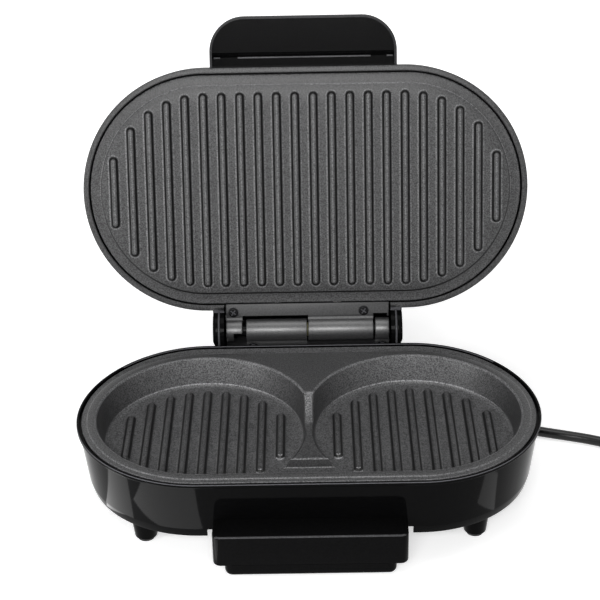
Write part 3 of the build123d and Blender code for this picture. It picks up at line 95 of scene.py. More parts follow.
lens = bpy.data.cameras.new("photo_camera")
lens.sensor_fit = "HORIZONTAL"
lens.sensor_width = 36
lens.lens = focal_pixels / picture_pixels * lens.sensor_width
lens.clip_start, lens.clip_end = 0.05, 20
camera = bpy.data.objects.new("photo_camera", lens)
camera.matrix_world = Matrix(((right.x, up.x, -ahead.x, eye.x),
                              (right.y, up.y, -ahead.y, eye.y),
                              (right.z, up.z, -ahead.z, eye.z),
                              (0, 0, 0, 1)))
bpy.context.scene.collection.objects.link(camera)
bpy.context.scene.camera = camera
print("lens", round(lens.lens, 1), "mm")

# %% [markdown]
# ## Materials
# Every finish has a fine pattern in it, because no real surface is one flat
# colour. The patterns that several finishes share are node groups: one makes a
# speckle, one makes small bumps, and one scales the colour by a tone that paints
# highlights onto edges and shade into corners. Each material places them with
# its own values, so a group is written only once.

# %% Shared pattern groups
def new_group(name, inputs, outputs):
    """An empty shader group with the named sockets, and its two end nodes."""
    group = bpy.data.node_groups.new(name, "ShaderNodeTree")
    for label, kind, value in inputs:
        socket = group.interface.new_socket(label, in_out="INPUT", socket_type=kind)
        if value is not None:
            socket.default_value = value
    for label, kind in outputs:
        group.interface.new_socket(label, in_out="OUTPUT", socket_type=kind)
    return group, group.nodes.new("NodeGroupInput"), group.nodes.new("NodeGroupOutput")


def wire(tree, *links):
    """Links, each from a node's named output to another node's input."""
    for source, output, target, socket in links:
        tree.links.new(source.outputs[output], target.inputs[socket])


def add_node(tree, kind, values=None, **settings):
    """A shader node with its settings and the values of its inputs."""
    node = tree.nodes.new(kind)
    for setting, value in settings.items():
        setattr(node, setting, value)
    for socket, value in (values or {}).items():
        node.inputs[socket].default_value = value
    return node


def build_speckle():
    """A mask of soft flecks over slower clouds, from 0 to 1."""
    group, into, out = new_group(
        "Speckle",
        [("Vector", "NodeSocketVector", None), ("Fleck Scale", "NodeSocketFloat", 900.0),
         ("Cloud Scale", "NodeSocketFloat", 30.0), ("Cloud Share", "NodeSocketFloat", 0.3)],
        [("Mask", "NodeSocketFloat")])
    fleck = add_node(group, "ShaderNodeTexNoise", {"Detail": 2})
    cloud = add_node(group, "ShaderNodeTexNoise", {"Detail": 3})
    sharpen = add_node(group, "ShaderNodeMapRange", {"From Min": 0.35, "From Max": 0.65})
    blend = add_node(group, "ShaderNodeMix")
    wire(group, (into, "Vector", fleck, "Vector"), (into, "Vector", cloud, "Vector"),
         (into, "Fleck Scale", fleck, "Scale"), (into, "Cloud Scale", cloud, "Scale"),
         (fleck, "Fac", sharpen, "Value"), (into, "Cloud Share", blend, "Factor"),
         (sharpen, "Result", blend, "A"), (cloud, "Fac", blend, "B"),
         (blend, "Result", out, "Mask"))
    return group


def build_grain():
    """A fine bumpy surface, as on a moulded or sprayed part."""
    group, into, out = new_group(
        "Fine grain",
        [("Vector", "NodeSocketVector", None), ("Scale", "NodeSocketFloat", 1200.0),
         ("Depth", "NodeSocketFloat", 0.02)],
        [("Height", "NodeSocketFloat")])
    noise = add_node(group, "ShaderNodeTexNoise", {"Detail": 3, "Roughness": 0.6})
    scale = add_node(group, "ShaderNodeMath", operation="MULTIPLY")
    wire(group, (into, "Vector", noise, "Vector"), (into, "Scale", noise, "Scale"),
         (noise, "Fac", scale, 0), (into, "Depth", scale, 1),
         (scale, "Value", out, "Height"))
    return group


def build_tone_and_painted_light():
    """Scales a colour by one plus the tone, which paints highlights on edges and shade in
    corners and shifts some colours; a tone of 0 changes nothing.
    """
    group, into, out = new_group(
        "Tone and painted light",
        [("Color", "NodeSocketColor", None), ("Tone", "NodeSocketFloat", 0.0)],
        [("Color", "NodeSocketColor")])
    factor = add_node(group, "ShaderNodeMath", {1: 1.0})
    scale = add_node(group, "ShaderNodeMix", {"Factor": 1.0}, data_type="RGBA",
                     blend_type="MULTIPLY")
    wire(group, (into, "Tone", factor, 0), (into, "Color", scale, "A"),
         (factor, "Value", scale, "B"), (scale, "Result", out, "Color"))
    return group


speckle_group = build_speckle()
grain_group = build_grain()
tone_and_light_group = build_tone_and_painted_light()
print("groups", [g.name for g in bpy.data.node_groups])

# %% [markdown]
# A finish on the real grill is one colour that varies a little, with a
# roughness that varies with it. One function mixes both by the speckle. Each
# material could be wired up by itself, but then a better mix would have to be
# made nineteen times.

# %% Material maker
def finish_material(name, dark, light, rough_low, rough_high, metal=0.0, fleck=900.0,
                    cloud=30.0, cloud_share=0.3, grain=1200.0, grain_depth=0.0,
                    level=0.5):
    """One finish: two colours mixed by the speckle, with its roughness and grain."""
    material = bpy.data.materials.new(name)
    material.use_nodes = True
    tree = material.node_tree
    shader = tree.nodes["Principled BSDF"]
    shader.inputs["Metallic"].default_value = metal
    shader.inputs["Specular IOR Level"].default_value = level
    where = add_node(tree, "ShaderNodeTexCoord")
    speckle = add_node(tree, "ShaderNodeGroup",
                       {"Fleck Scale": fleck, "Cloud Scale": cloud,
                        "Cloud Share": cloud_share}, node_tree=speckle_group)
    colour = add_node(tree, "ShaderNodeMix", {"A": (*dark, 1), "B": (*light, 1)},
                      data_type="RGBA")
    rough = add_node(tree, "ShaderNodeMapRange", {"To Min": rough_low, "To Max": rough_high})
    # The tone on each face corner carries painted highlights and painted shade, and the
    # finish's colour is scaled by it.
    tone = add_node(tree, "ShaderNodeAttribute", attribute_name="tone_and_painted_light")
    edge = add_node(tree, "ShaderNodeGroup", node_tree=tone_and_light_group)
    wire(tree, (where, "Object", speckle, "Vector"), (speckle, "Mask", colour, "Factor"),
         (speckle, "Mask", rough, "Value"), (colour, "Result", edge, "Color"),
         (tone, "Fac", edge, "Tone"), (edge, "Color", shader, "Base Color"),
         (rough, "Result", shader, "Roughness"))
    if grain_depth:
        fine = add_node(tree, "ShaderNodeGroup", {"Scale": grain, "Depth": 1.0},
                        node_tree=grain_group)
        bump = add_node(tree, "ShaderNodeBump",
                        {"Strength": 1.0, "Distance": grain_depth * MM})
        wire(tree, (where, "Object", fine, "Vector"), (fine, "Height", bump, "Height"),
             (bump, "Normal", shader, "Normal"))
    return material


# %% [markdown]
# The shells are polished black plastic. The plates have a dark grey non-stick
# coating with pale flecks. Handles and hinge are moulded with a fine satin
# grain, so they look a little greyer than the shells. The blacks are much darker
# than they look, because most of what we see in gloss is what it mirrors.

# %% The finishes of the visible pieces
gloss_black = finish_material("gloss black plastic", (0.0016, 0.0016, 0.0017),
                              (0.0027, 0.0027, 0.0029), 0.06, 0.1, fleck=400, cloud=12,
                              cloud_share=0.7, level=0.03)
satin_black = finish_material("satin black moulding", (0.0024, 0.0024, 0.0025),
                              (0.0046, 0.0046, 0.0048), 0.15, 0.21, fleck=1500,
                              grain=1800, grain_depth=0.01, level=0.025)
coated_plate = finish_material("speckled non-stick coating", (0.018, 0.018, 0.0185),
                               (0.092, 0.092, 0.094), 0.3, 0.42, fleck=1350,
                               cloud=18, cloud_share=0.12, grain=2200, grain_depth=0.06,
                               level=0.27)
# A darker, rougher copy of the coating, put on a face as painted shade.
shaded_coating_copy = finish_material("coating darkened as painted shade", (0.014, 0.014, 0.0145),
                               (0.055, 0.055, 0.056), 0.6, 0.75, fleck=1350, level=0.12)
hinge_grey = finish_material("dark grey cast hinge", (0.007, 0.007, 0.0075),
                             (0.03, 0.03, 0.031), 0.36, 0.46, fleck=1200,
                             grain=1700, grain_depth=0.04, level=0.4)
hinge_barrel = finish_material("turned hinge barrel", (0.012, 0.012, 0.0125),
                               (0.045, 0.045, 0.046), 0.32, 0.42, fleck=1200,
                               grain=1700, grain_depth=0.04, level=1.0)
black_screw = finish_material("blackened screw", (0.002, 0.002, 0.0022),
                              (0.006, 0.006, 0.0065), 0.25, 0.4, fleck=1200, level=0.08)
rubber = finish_material("soft black rubber", (0.012, 0.012, 0.012), (0.03, 0.03, 0.03),
                         0.6, 0.8, grain=1500, grain_depth=0.05)
cord_sheath = finish_material("black cord sheath", (0.003, 0.003, 0.003),
                              (0.007, 0.007, 0.007), 0.16, 0.24, fleck=600, grain=900,
                              grain_depth=0.02, level=0.3)
wire_sleeve = finish_material("olive wire sleeve", (0.05, 0.047, 0.015),
                              (0.12, 0.11, 0.04), 0.5, 0.7, fleck=900)
by_slot = {
    "housing": gloss_black, "moulding": satin_black, "plate": coated_plate, "pad": rubber,
    "cord": cord_sheath,
    "screw": finish_material("zinc plated steel", (0.32, 0.32, 0.33), (0.6, 0.6, 0.6),
                             0.22, 0.4, metal=1.0, fleck=1400, cloud=60),
    "sheet": finish_material("bright aluminium sheet", (0.55, 0.55, 0.56),
                             (0.75, 0.75, 0.76), 0.25, 0.42, metal=1.0, fleck=300,
                             cloud=20),
    "element": finish_material("heat-tinted element sheath", (0.12, 0.1, 0.085),
                               (0.28, 0.25, 0.22), 0.4, 0.6, metal=1.0, fleck=200,
                               cloud=25, cloud_share=0.6),
    "ceramic": finish_material("white ceramic", (0.72, 0.71, 0.68), (0.86, 0.85, 0.82),
                               0.5, 0.65, grain=1500, grain_depth=0.03),
    "fitting": finish_material("cream insulator", (0.55, 0.53, 0.46), (0.68, 0.66, 0.6),
                               0.45, 0.6, grain=900, grain_depth=0.03),
    "wire": finish_material("woven wire sleeve", (0.5, 0.49, 0.46), (0.72, 0.7, 0.66),
                            0.65, 0.85, fleck=2500, grain=2500, grain_depth=0.1),
    "blade": finish_material("nickel plated brass", (0.62, 0.52, 0.3), (0.74, 0.64, 0.4),
                             0.2, 0.35, metal=1.0),
    "power_lens": finish_material("red lamp lens", (0.42, 0.02, 0.015),
                                  (0.55, 0.04, 0.03), 0.1, 0.2),
    "ready_lens": finish_material("green lamp lens", (0.02, 0.3, 0.06),
                                  (0.05, 0.42, 0.1), 0.1, 0.2)}
for part in frame["record"]["subparts"]:
    node = nodes[part["node"]]
    node.data.materials.clear()
    node.data.materials.append(by_slot[part["material_slot"]])
for name, finish in (("right_hinge_pin", black_screw), ("left_hinge_pin", black_screw),
                     ("hinge_wire_sleeve", wire_sleeve)):
    nodes[name].data.materials[0] = finish
print("finishes", len(by_slot))

# %% [markdown]
# ## Modelling tools
# Every piece goes through the same steps: select it, work on it, round its
# edges, put it in its place. These short tools do that, so a later cell says only
# what is special about its piece.

# %% Tools: select, place and hand over
def clear_selection():
    if bpy.context.object and bpy.context.object.mode != "OBJECT":
        bpy.ops.object.mode_set(mode="OBJECT")
    bpy.ops.object.select_all(action="DESELECT")


def activate(piece):
    clear_selection()
    piece.select_set(True)
    bpy.context.view_layer.objects.active = piece


def edit(piece, mode="VERT", action="SELECT"):
    """Open the piece in edit mode, with all of it selected or nothing."""
    activate(piece)
    bpy.ops.object.mode_set(mode="EDIT")
    bpy.ops.mesh.select_mode(type=mode)
    bpy.ops.mesh.select_all(action=action)


def done():
    bpy.ops.object.mode_set(mode="OBJECT")


def rename(name):
    piece = bpy.context.object
    piece.name = name
    piece.data.name = name
    return piece


def face_outwards(piece):
    edit(piece, "FACE")
    bpy.ops.mesh.normals_make_consistent(inside=False)
    done()


def join(pieces):
    clear_selection()
    for piece in pieces:
        piece.select_set(True)
    bpy.context.view_layer.objects.active = pieces[0]
    bpy.ops.object.join()
    return pieces[0]


def soften(piece, width, segments=2, angle=28):
    """Round the sharp edges, then shade the gentle ones smooth."""
    activate(piece)
    if width:
        rounding = piece.modifiers.new("edges", "BEVEL")
        rounding.width = width * MM
        rounding.segments = segments
        rounding.limit_method = "ANGLE"
        rounding.angle_limit = radians(angle)
        bpy.ops.object.modifier_apply(modifier=rounding.name)
    bpy.ops.object.shade_smooth_by_angle(angle=radians(angle))


def settle():
    """Write the selected pieces' place, turn and scale into their meshes."""
    bpy.ops.object.transform_apply(location=True, rotation=True, scale=True)


def hand_over(piece, board, body, slot, material, *replaced):
    """Put the piece in its place, give it its finish, hang it on its body and hide the parts
    that it replaces.
    """
    activate(piece)
    piece.matrix_world = board @ piece.matrix_world
    settle()
    piece.data.materials.clear()
    piece.data.materials.append(material)
    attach(piece, body)
    if replaced:
        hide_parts(*replaced)
    print(piece.name, len(piece.data.polygons), "faces")


# %% [markdown]
# Thin lines of light on edges and the dark at the foot of a rib are painted
# into the colour as a tone on each face corner. Such lines could be thin pieces
# of their own, but a number on each face corner needs no extra geometry, and
# every finish reads it. Where a part of a piece has another surface, its faces
# get a second finish.

# %% Tools: painted light tone and a second finish
def between(value, points):
    """Read a table of (place, value) points, straight between them."""
    for (a, low), (b, high) in zip(points, points[1:]):
        if value <= b:
            return low + (high - low) * min(max((value - a) / (b - a), 0), 1)
    return points[-1][1]


def core_distance(x, y):
    """How far a place is from the straight core of the capsule outline."""
    return sqrt(max(abs(x) - WELL_X, 0) ** 2 + y ** 2)


def paint(piece, board, light_and_shade_at):
    """Write the tone of each face corner, which paints light and shade, from its place and
    its facing.
    """
    back = board.inverted()
    places = [back @ vertex.co / MM for vertex in piece.data.vertices]
    tones = []
    for face in piece.data.polygons:
        facing = (back.to_3x3() @ face.normal).normalized()
        middle = back @ face.center / MM
        tones += [light_and_shade_at(places[corner], facing, middle) for corner in face.vertices]
    layer = piece.data.attributes.new("tone_and_painted_light", "FLOAT", "CORNER")
    layer.data.foreach_set("value", tones)
    print(piece.name, "tones", round(min(tones), 2), round(max(tones), 2))


def second_finish(piece, board, material, chosen):
    """Give the faces that pass the test a finish of their own."""
    back = board.inverted()
    piece.data.materials.append(material)
    for face in piece.data.polygons:
        facing = (back.to_3x3() @ face.normal).normalized()
        if chosen(back @ face.center / MM, facing):
            face.material_index = 1


# %% [markdown]
# The outline of every big piece is the same: a straight stretch and a half
# circle at each end. So one tool draws a wall's section as a chain of points,
# pulls it along the straight, spins it round the end, pulls it back and mirrors
# the lot. The other tools draw prisms, blocks and round posts, and cut or weld
# them.

# %% Tools: capsule, prism, block, post
def pull(distance):
    """Extrude what is selected along x."""
    bpy.ops.mesh.extrude_region_move(TRANSFORM_OT_translate={"value": (distance * MM, 0, 0)})


def capsule(name, section, half_gap=WELL_X, closed=False, steps=40):
    """A wall section of (radius, height) points, swept round the capsule outline."""
    clear_selection()
    bpy.ops.mesh.primitive_circle_add(vertices=len(section), radius=MM, fill_type="NOTHING")
    piece = rename(name)
    for vertex, (radius, height) in zip(piece.data.vertices, section):
        vertex.co = (0, -radius * MM, height * MM)
    edit(piece, "EDGE")
    if not closed:
        bpy.ops.mesh.select_all(action="DESELECT")
        shape = bmesh.from_edit_mesh(piece.data)
        ends = {0, len(section) - 1}
        for edge in shape.edges:
            edge.select = {v.index for v in edge.verts} == ends
        bmesh.update_edit_mesh(piece.data)
        bpy.ops.mesh.delete(type="EDGE")
    bpy.ops.mesh.select_all(action="SELECT")
    pull(half_gap)
    bpy.ops.mesh.spin(steps=steps, angle=pi, center=(half_gap * MM, 0, 0), axis=(0, 0, -1))
    pull(-half_gap)
    done()
    mirror = piece.modifiers.new("other half", "MIRROR")
    mirror.merge_threshold = 0.00001
    bpy.ops.object.modifier_apply(modifier=mirror.name)
    edit(piece)
    bpy.ops.mesh.remove_doubles(threshold=0.000005)
    bpy.ops.mesh.select_all(action="SELECT")
    if not closed:
        bpy.ops.mesh.fill_holes(sides=0)
    done()
    face_outwards(piece)
    return piece


def prism(name, points, left, right):
    """A side profile of (back, up) points, pulled across from left to right."""
    clear_selection()
    bpy.ops.mesh.primitive_circle_add(vertices=len(points), radius=MM, fill_type="NGON")
    piece = rename(name)
    for vertex, (back, height) in zip(piece.data.vertices, points):
        vertex.co = (left * MM, back * MM, height * MM)
    edit(piece, "FACE")
    pull(right - left)
    done()
    face_outwards(piece)
    return piece


def block(name, low, high):
    """A block between two corners."""
    clear_selection()
    middle = [(a + b) / 2 * MM for a, b in zip(low, high)]
    size = [(b - a) * MM for a, b in zip(low, high)]
    bpy.ops.mesh.primitive_cube_add(size=1, location=middle, scale=size)
    settle()
    return rename(name)


def post(name, start, end, radius, end_radius=None, sides=48):
    """A round post or cone from one point to another."""
    clear_selection()
    start, end = Vector(start) * MM, Vector(end) * MM
    along = end - start
    turn = Vector((0, 0, 1)).rotation_difference(along).to_euler()
    tip = radius if end_radius is None else end_radius
    bpy.ops.mesh.primitive_cone_add(vertices=sides, radius1=radius * MM, radius2=tip * MM,
                                    depth=along.length, location=(start + end) / 2,
                                    rotation=turn)
    settle()
    return rename(name)


def combine(piece, tool, operation="DIFFERENCE"):
    """Cut the tool out of the piece, or weld it on, and throw the tool away."""
    activate(piece)
    change = piece.modifiers.new("change", "BOOLEAN")
    change.operation = operation
    change.solver = "EXACT"
    change.object = tool
    bpy.ops.object.modifier_apply(modifier=change.name)
    bpy.data.objects.remove(tool)
    return piece


def round_edges(piece, chosen, width, segments=4):
    """Bevel only the edges whose middle and direction pass the test."""
    edit(piece, "EDGE", "DESELECT")
    shape = bmesh.from_edit_mesh(piece.data)
    for line in shape.edges:
        a, b = line.verts[0].co / MM, line.verts[1].co / MM
        line.select = bool(chosen((a + b) / 2, (b - a).normalized()))
    bmesh.update_edit_mesh(piece.data)
    bpy.ops.mesh.bevel(offset=width * MM, segments=segments, affect="EDGES")
    done()
    return piece


def upright(y, side):
    """Picks upright edges that lie behind y (side 1) or in front of it (side -1)."""
    return lambda middle, way: abs(way.z) > 0.9 and side * (middle.y - y) > 0


def level_edge(z, y, side):
    """Picks edges at height z that lie behind y (side 1) or in front of it (-1)."""
    return lambda middle, way: abs(middle.z - z) < 0.01 and side * (middle.y - y) > 0


def rounded_block(name, low, high, *roundings):
    """A block whose edges are rounded in turn, each by its (test, width, segments)."""
    piece = block(name, low, high)
    for test, width, segments in roundings:
        round_edges(piece, test, width, segments)
    return piece


def arc(cx, cy, radius, start, end, count):
    """Points along an arc in a section, angles in degrees."""
    return [(cx + radius * cos(radians(start + (end - start) * n / count)),
             cy + radius * sin(radians(start + (end - start) * n / count)))
            for n in range(count + 1)]


# %% [markdown]
# ## The power cord
# A cord is a soft thing of fixed length, so it is one smooth curve. It leaves
# the hinge block behind the base, drops to the counter, and the length that the
# picture doesn't show is put away in a coil of two layers. A tube could be
# modelled by hand, but a curve keeps the cord round and even at every bend.

# %% Cord route and coil
CORD = 6.0                     # thickness
COIL_X, COIL_Y = 195.0, -16.0  # where the coil starts, and its middle line
COIL_RADIUS, COIL_STEP, COIL_RISE = 36.0, 3.3, 6.6
HALF_TURNS, HALF_POINTS = 7, 8
cord_level = CORD / 2 - FLANGE
route = [(30.0, 77.0, -22.0), (84.0, 77.0, -22.0), (106.0, 66.0, -42.0),
         (128.0, 54.0, cord_level), (148.0, 47.6, cord_level), (166.0, 41.8, cord_level),
         (184.0, 33.0, cord_level), (195.0, 14.0, cord_level), (195.0, -10.0, cord_level)]
spread = 1 / cos(pi / HALF_POINTS / 2)
x, hand, level = COIL_X, 1, cord_level
for n in range(HALF_TURNS):
    radius = COIL_RADIUS - COIL_STEP * min(n, HALF_TURNS - 1 - n)
    middle = x + hand * radius
    climbs = n == HALF_TURNS // 2
    for k in range(HALF_POINTS):
        share = (k + 0.5) / HALF_POINTS
        angle = pi * share
        lift = level + (COIL_RISE * share if climbs else 0)
        route.append((middle - hand * radius * spread * cos(angle),
                      COIL_Y - hand * radius * spread * sin(angle), lift))
    if climbs:
        level += COIL_RISE
    x += 2 * hand * radius
    hand = -hand
route += [(x, COIL_Y + 4.5, level), (x, COIL_Y + 9.0, level)]

line = bpy.data.curves.new("power_cord_line", "CURVE")
line.dimensions = "3D"
line.bevel_depth = CORD / 2 * MM
line.bevel_resolution = 6
line.resolution_u = 10
line.use_fill_caps = True
spline = line.splines.new("NURBS")
spline.points.add(len(route) - 1)
for point, place in zip(spline.points, route):
    point.co = (*(base_board @ (Vector(place) * MM)), 1)
spline.use_endpoint_u = True
spline.order_u = 3
line.materials.append(cord_sheath)
cord = bpy.data.objects.new("power_cord_line", line)
bpy.context.scene.collection.objects.link(cord)
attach(cord, "base")
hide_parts("power_cord", "cord_coil")
print("cord points", len(route))

# %% [markdown]
# ## The lower cooking plate
# This casting has two round pans that meet over a low saddle, and soft ribs
# stand in each pan. All ribs have one section, so we draw one and copy it. A
# copy is stretched only in its straight part, because scaling it would make its
# round ends oval.

# %% Rib: one soft ridge, copied to every place
RIB_PITCH, RIB_BASE, RIB_HEIGHT, MODEL_GAP = 10.6, 2.6, 2.2, 10.0
rib_section = [(RIB_BASE + 1.1, -0.04), (RIB_BASE + 0.9, 0.03), (RIB_BASE + 0.35, 0.1),
               (RIB_BASE, 0.3), (2.3, 0.75), (1.62, 1.72), (1.42, 2.0), (1.08, 2.16),
               (0.6, RIB_HEIGHT), (0.25, RIB_HEIGHT + 0.03)]
model_rib = capsule("rib", rib_section, half_gap=MODEL_GAP, steps=14)


def ribs(name, level, way, places):
    """Copies of the rib at x, each with its half length, standing up or down."""
    copies = []
    for x, half_length in places:
        piece = model_rib.copy()
        piece.data = model_rib.data.copy()
        bpy.context.scene.collection.objects.link(piece)
        stretch = half_length - RIB_BASE - MODEL_GAP
        for vertex in piece.data.vertices:
            along, across, rise = vertex.co / MM
            along += stretch * (1 if along > 0 else -1 if along < 0 else 0)
            vertex.co = Vector((x - across, along, level + way * rise)) * MM
        copies.append(piece)
    piece = join(copies)
    piece.name = name
    face_outwards(piece)
    print(name, len(places), "ribs")
    return piece


# %% [markdown]
# The casting starts as its flange and the outsides of both pans in one solid.
# The walls could be drawn one by one, but cutting the inside out of a solid
# leaves them even, and it shows how the pans run into each other.

# %% Lower plate: the casting's stock and the outline of the two pans
WELL, WELL_FLOOR, DEPTH, WALL = 59.0, 54.9, 16.65, 3.0  # a pan at its rim and its floor
FLANGE_R, FLANGE_T = 67.0, 2.0
SADDLE_TOP, SADDLE_RUN, LAND = 20.5, 13.0, 12.0         # the slope down to the low land
LAND_FRONT, LAND_TOE = 28.5, 31.4                       # the short slope in front of it
plate = capsule("lower_plate", [
    (40, -DEPTH - WALL), (WELL_FLOOR + WALL, -DEPTH - WALL), (WELL + WALL, -FLANGE_T),
    (FLANGE_R - 0.3, -FLANGE_T), (FLANGE_R, -FLANGE_T + 0.3), (FLANGE_R, -0.9),
    (FLANGE_R - 0.4, -0.5), (64.4, -0.5), (64.1, -0.4), (63.9, -0.1), (63.6, 0),
    (40, 0)], steps=64)


def pan_outline(radius, level, count=110):
    """Both pans and the trough along the front, as one closed line."""
    line = []
    stop = -degrees(asin(LAND_TOE / radius))
    for hand in (-1, 1):
        half = []
        for n in range(count + 1):
            angle = radians(-90 - (270 - stop) * n / count)
            across = max(WELL_X - radius * cos(angle), 0.05)
            half.append((hand * across, radius * sin(angle), level))
        line += half if hand < 0 else half[::-1]
    return line


def stack(name, rings):
    """A closed form whose outline changes from ring to ring."""
    clear_selection()
    bpy.ops.mesh.primitive_circle_add(vertices=len(rings[0]), radius=MM, fill_type="NGON")
    piece = rename(name)
    for vertex, place in zip(piece.data.vertices, rings[0]):
        vertex.co = Vector(place) * MM
    edit(piece, "FACE")
    for below, above in zip(rings, rings[1:]):
        pull(0)
        shape = bmesh.from_edit_mesh(piece.data)
        for vertex in [v for v in shape.verts if v.select]:
            nearest = min(range(len(below)),
                          key=lambda k: (Vector(below[k]) * MM - vertex.co).length_squared)
            vertex.co = Vector(above[nearest]) * MM
        bmesh.update_edit_mesh(piece.data)
    done()
    face_outwards(piece)
    return piece


# %% [markdown]
# The cutter for the pans is a stack of outlines, one for each height, so the
# roundings at the floor and the rim come with it. A side profile then cuts the
# saddle. The saddle's long edges are rounded last, because they exist only once
# both cuts have been made.

# %% Cut the pans and the saddle out of the stock
RIB_LINE = 48.0  # the ribs of a pan end on this circle
slope = (WELL - WELL_FLOOR) / DEPTH
pan_section = [(WELL_FLOOR - 1.55, -DEPTH), (WELL_FLOOR - 0.8, -DEPTH + 0.1),
               (WELL_FLOOR - 0.1, -DEPTH + 0.45), (WELL_FLOOR + 0.35, -DEPTH + 1.1),
               (WELL_FLOOR + 0.5, -DEPTH + 1.9), (WELL - slope * 1.0, -1.0),
               (WELL - 0.1, -0.6), (WELL + 0.12, -0.28), (WELL + 0.45, -0.07),
               (WELL + 0.9, 0.0), (WELL + 1.0, 1.5)]
combine(plate, stack("pan rooms", [pan_outline(r, z) for r, z in pan_section]))
foot_y, foot_z = SADDLE_TOP - SADDLE_RUN, -LAND
fall = sqrt(SADDLE_RUN ** 2 + LAND ** 2)
easing = [(foot_y - 2.45, foot_z), (foot_y - 1.2, foot_z + 0.12), (foot_y, foot_z + 0.5),
          (foot_y + 0.9, foot_z + 1.15), (foot_y + 2.45 * SADDLE_RUN / fall,
                                          foot_z + 2.45 * LAND / fall)]
crest = [(SADDLE_TOP - 0.75, -0.7), (SADDLE_TOP - 0.1, -0.22), (SADDLE_TOP + 0.8, 0.0),
         (SADDLE_TOP + 0.9, 1.5)]
toe = [(-LAND_TOE - 1, 1.5), (-LAND_TOE - 0.05, -DEPTH + 0.08),
       (-LAND_TOE + 0.35, -DEPTH + 0.72), (-LAND_FRONT - 0.5, -LAND - 0.55),
       (-LAND_FRONT - 0.1, -LAND - 0.12), (-LAND_FRONT + 0.5, -LAND)]
combine(plate, prism("saddle", toe + easing + crest, -16, 16))
print("plate faces", len(plate.data.polygons))


def on_saddle(middle, way):
    """The two long edges where the saddle meets the walls of the pans."""
    above_slope = middle.z + (SADDLE_TOP - middle.y) * LAND / SADDLE_RUN
    on_slope = abs(above_slope) < 0.6 or abs(middle.z + LAND) < 0.6
    from_well = sqrt((WELL_X - abs(middle.x)) ** 2 + middle.y ** 2)
    on_wall = abs(from_well - (WELL + middle.z * slope)) < 0.25
    within = -LAND - 0.5 < middle.z < -0.8 and -28.3 < middle.y < 20
    return on_slope and on_wall and within and abs(way.x) < 0.9


edit(plate)
bpy.ops.mesh.remove_doubles(threshold=0.00002)
done()
round_edges(plate, on_saddle, 1.0)
well_places = [(hand * WELL_X + n * RIB_PITCH, sqrt(RIB_LINE ** 2 - (n * RIB_PITCH) ** 2))
               for hand in (-1, 1) for n in range(-4, 5)]
plate = join([plate, ribs("lower_ribs", -DEPTH, 1, well_places)])
soften(plate, 0)


def lift_back(piece):
    """The rim rises a little towards the hinge, and reaches further back there."""
    rim, ramp, low, back = 64, 3, 6, 69
    for vertex in piece.data.vertices:
        x, y, z = vertex.co / MM
        reach = core_distance(x, y)
        if 0 < y < 70.2 and z > -low and reach > rim:
            share = min((reach - rim) / ramp, 1) * min((z + low) / ramp, 1) * (y / back) ** 2
            vertex.co += Vector((0, 1.7, 1.4)) * share * MM


lift_back(plate)
hand_over(plate, base_board, "base", "plate", coated_plate, "lower_cooking_plate")

# %% [markdown]
# The ribs' sides get painted shade, and painted highlights mark their front
# ends, the line round each floor, the neck between the pans and the rims. The
# back of each pan's wall gets a painted highlight and its sides painted shade.
# Lamps alone would need many more samples for such thin lines, so each gets a
# tone.

# %% Lower plate: painted highlights on edges and painted shade on rib sides
# Painted light and shade across a pan rib by height, and a painted highlight along the neck.
well_rib_painted_light = [(-0.04, 0.4), (0.1, 0.4), (0.3, -0.3), (0.75, -0.92), (1.72, -0.9),
                  (2.0, -0.55), (2.16, -0.1), (2.2, 0.0), (2.23, 0.2)]
neck_painted_highlight = [(-3, 0.0), (6, 0.25), (10, 0.6), (14, 1.5), (21, 1.4)]


def lower_plate_painted_light(place, facing, middle):
    """The painted light and shade at a place on the lower plate, and a lighter floor; the
    first form that fits decides.
    """
    x, y, z = abs(middle.x), middle.y, middle.z
    rise = place.z + DEPTH
    from_well = sqrt((x - WELL_X) ** 2 + y ** 2)
    reach = core_distance(x, y)
    from_rim = reach if y < -LAND_TOE and x < WELL_X else from_well
    on_rib = from_well < 51.5 and -0.2 < rise < 3 and abs(rise) > 0.01 and facing.z > -0.5
    on_toe = x < 15 and -31.6 < y < -27.9 and facing.y < -0.1
    on_neck = x < 5 and -3 < y < 21.5 and -14 < z < -0.3 and abs(facing.x) < 0.4
    on_wall = 54 < from_well < 59.3 and y > -30 and -14.6 < z < -0.9
    # Painted shade on the rib sides, painted light at their foot and crest, and a painted
    # glint on the near ends of the middle ribs.
    if on_rib:
        near_end = x < 30 and y < 0 and facing.y < -0.3
        return 3.0 if near_end and not 0.35 < rise < 1.9 else between(rise, well_rib_painted_light)
    # Painted highlight lines along the top and the foot of the short slope.
    if on_toe:
        return 1.3 if y > -29 or y < -31.1 else 0.0
    # A painted highlight on the line round the floor, brightest at the back.
    if -15.8 < z < -14.6 and y > 0:  # the line round the floor
        return 4.0 * (y / 55) ** 2
    # The floor is made a little lighter.
    if z < -15.8 and facing.z > 0.2:  # the floor
        return 0.5
    # A painted highlight along the neck between the pans.
    if on_neck:
        return between(place.y, neck_painted_highlight)
    # A painted highlight on the back of each pan's wall, and painted shade at its sides.
    if on_wall:
        return 1.4 * max(y / from_well, 0) ** 2 - 0.5
    # Painted highlights on the rim of each pan, the flange's outer edge and the step in the
    # flange.
    if -0.9 < z < -0.01 and 58.4 < from_rim < 60:  # the rim of a pan
        return 0.9
    if reach > 66.5 and facing.z > 0.2:  # the flange's outer edge
        return 0.7
    if 63.5 < reach < 64.5 and facing.z > 0.3:  # the step in the flange
        return 0.8
    return 0.08 if reach > 64.4 and facing.z > 0.3 else 0.0


def on_toe_face(middle, facing):
    """The short slope in front of the land, which gets the darker copy of the coating as
    painted shade.
    """
    return (abs(middle.x) < 15 and -31.1 < middle.y < -29 and facing.y < -0.5
            and middle.z > -16.3)


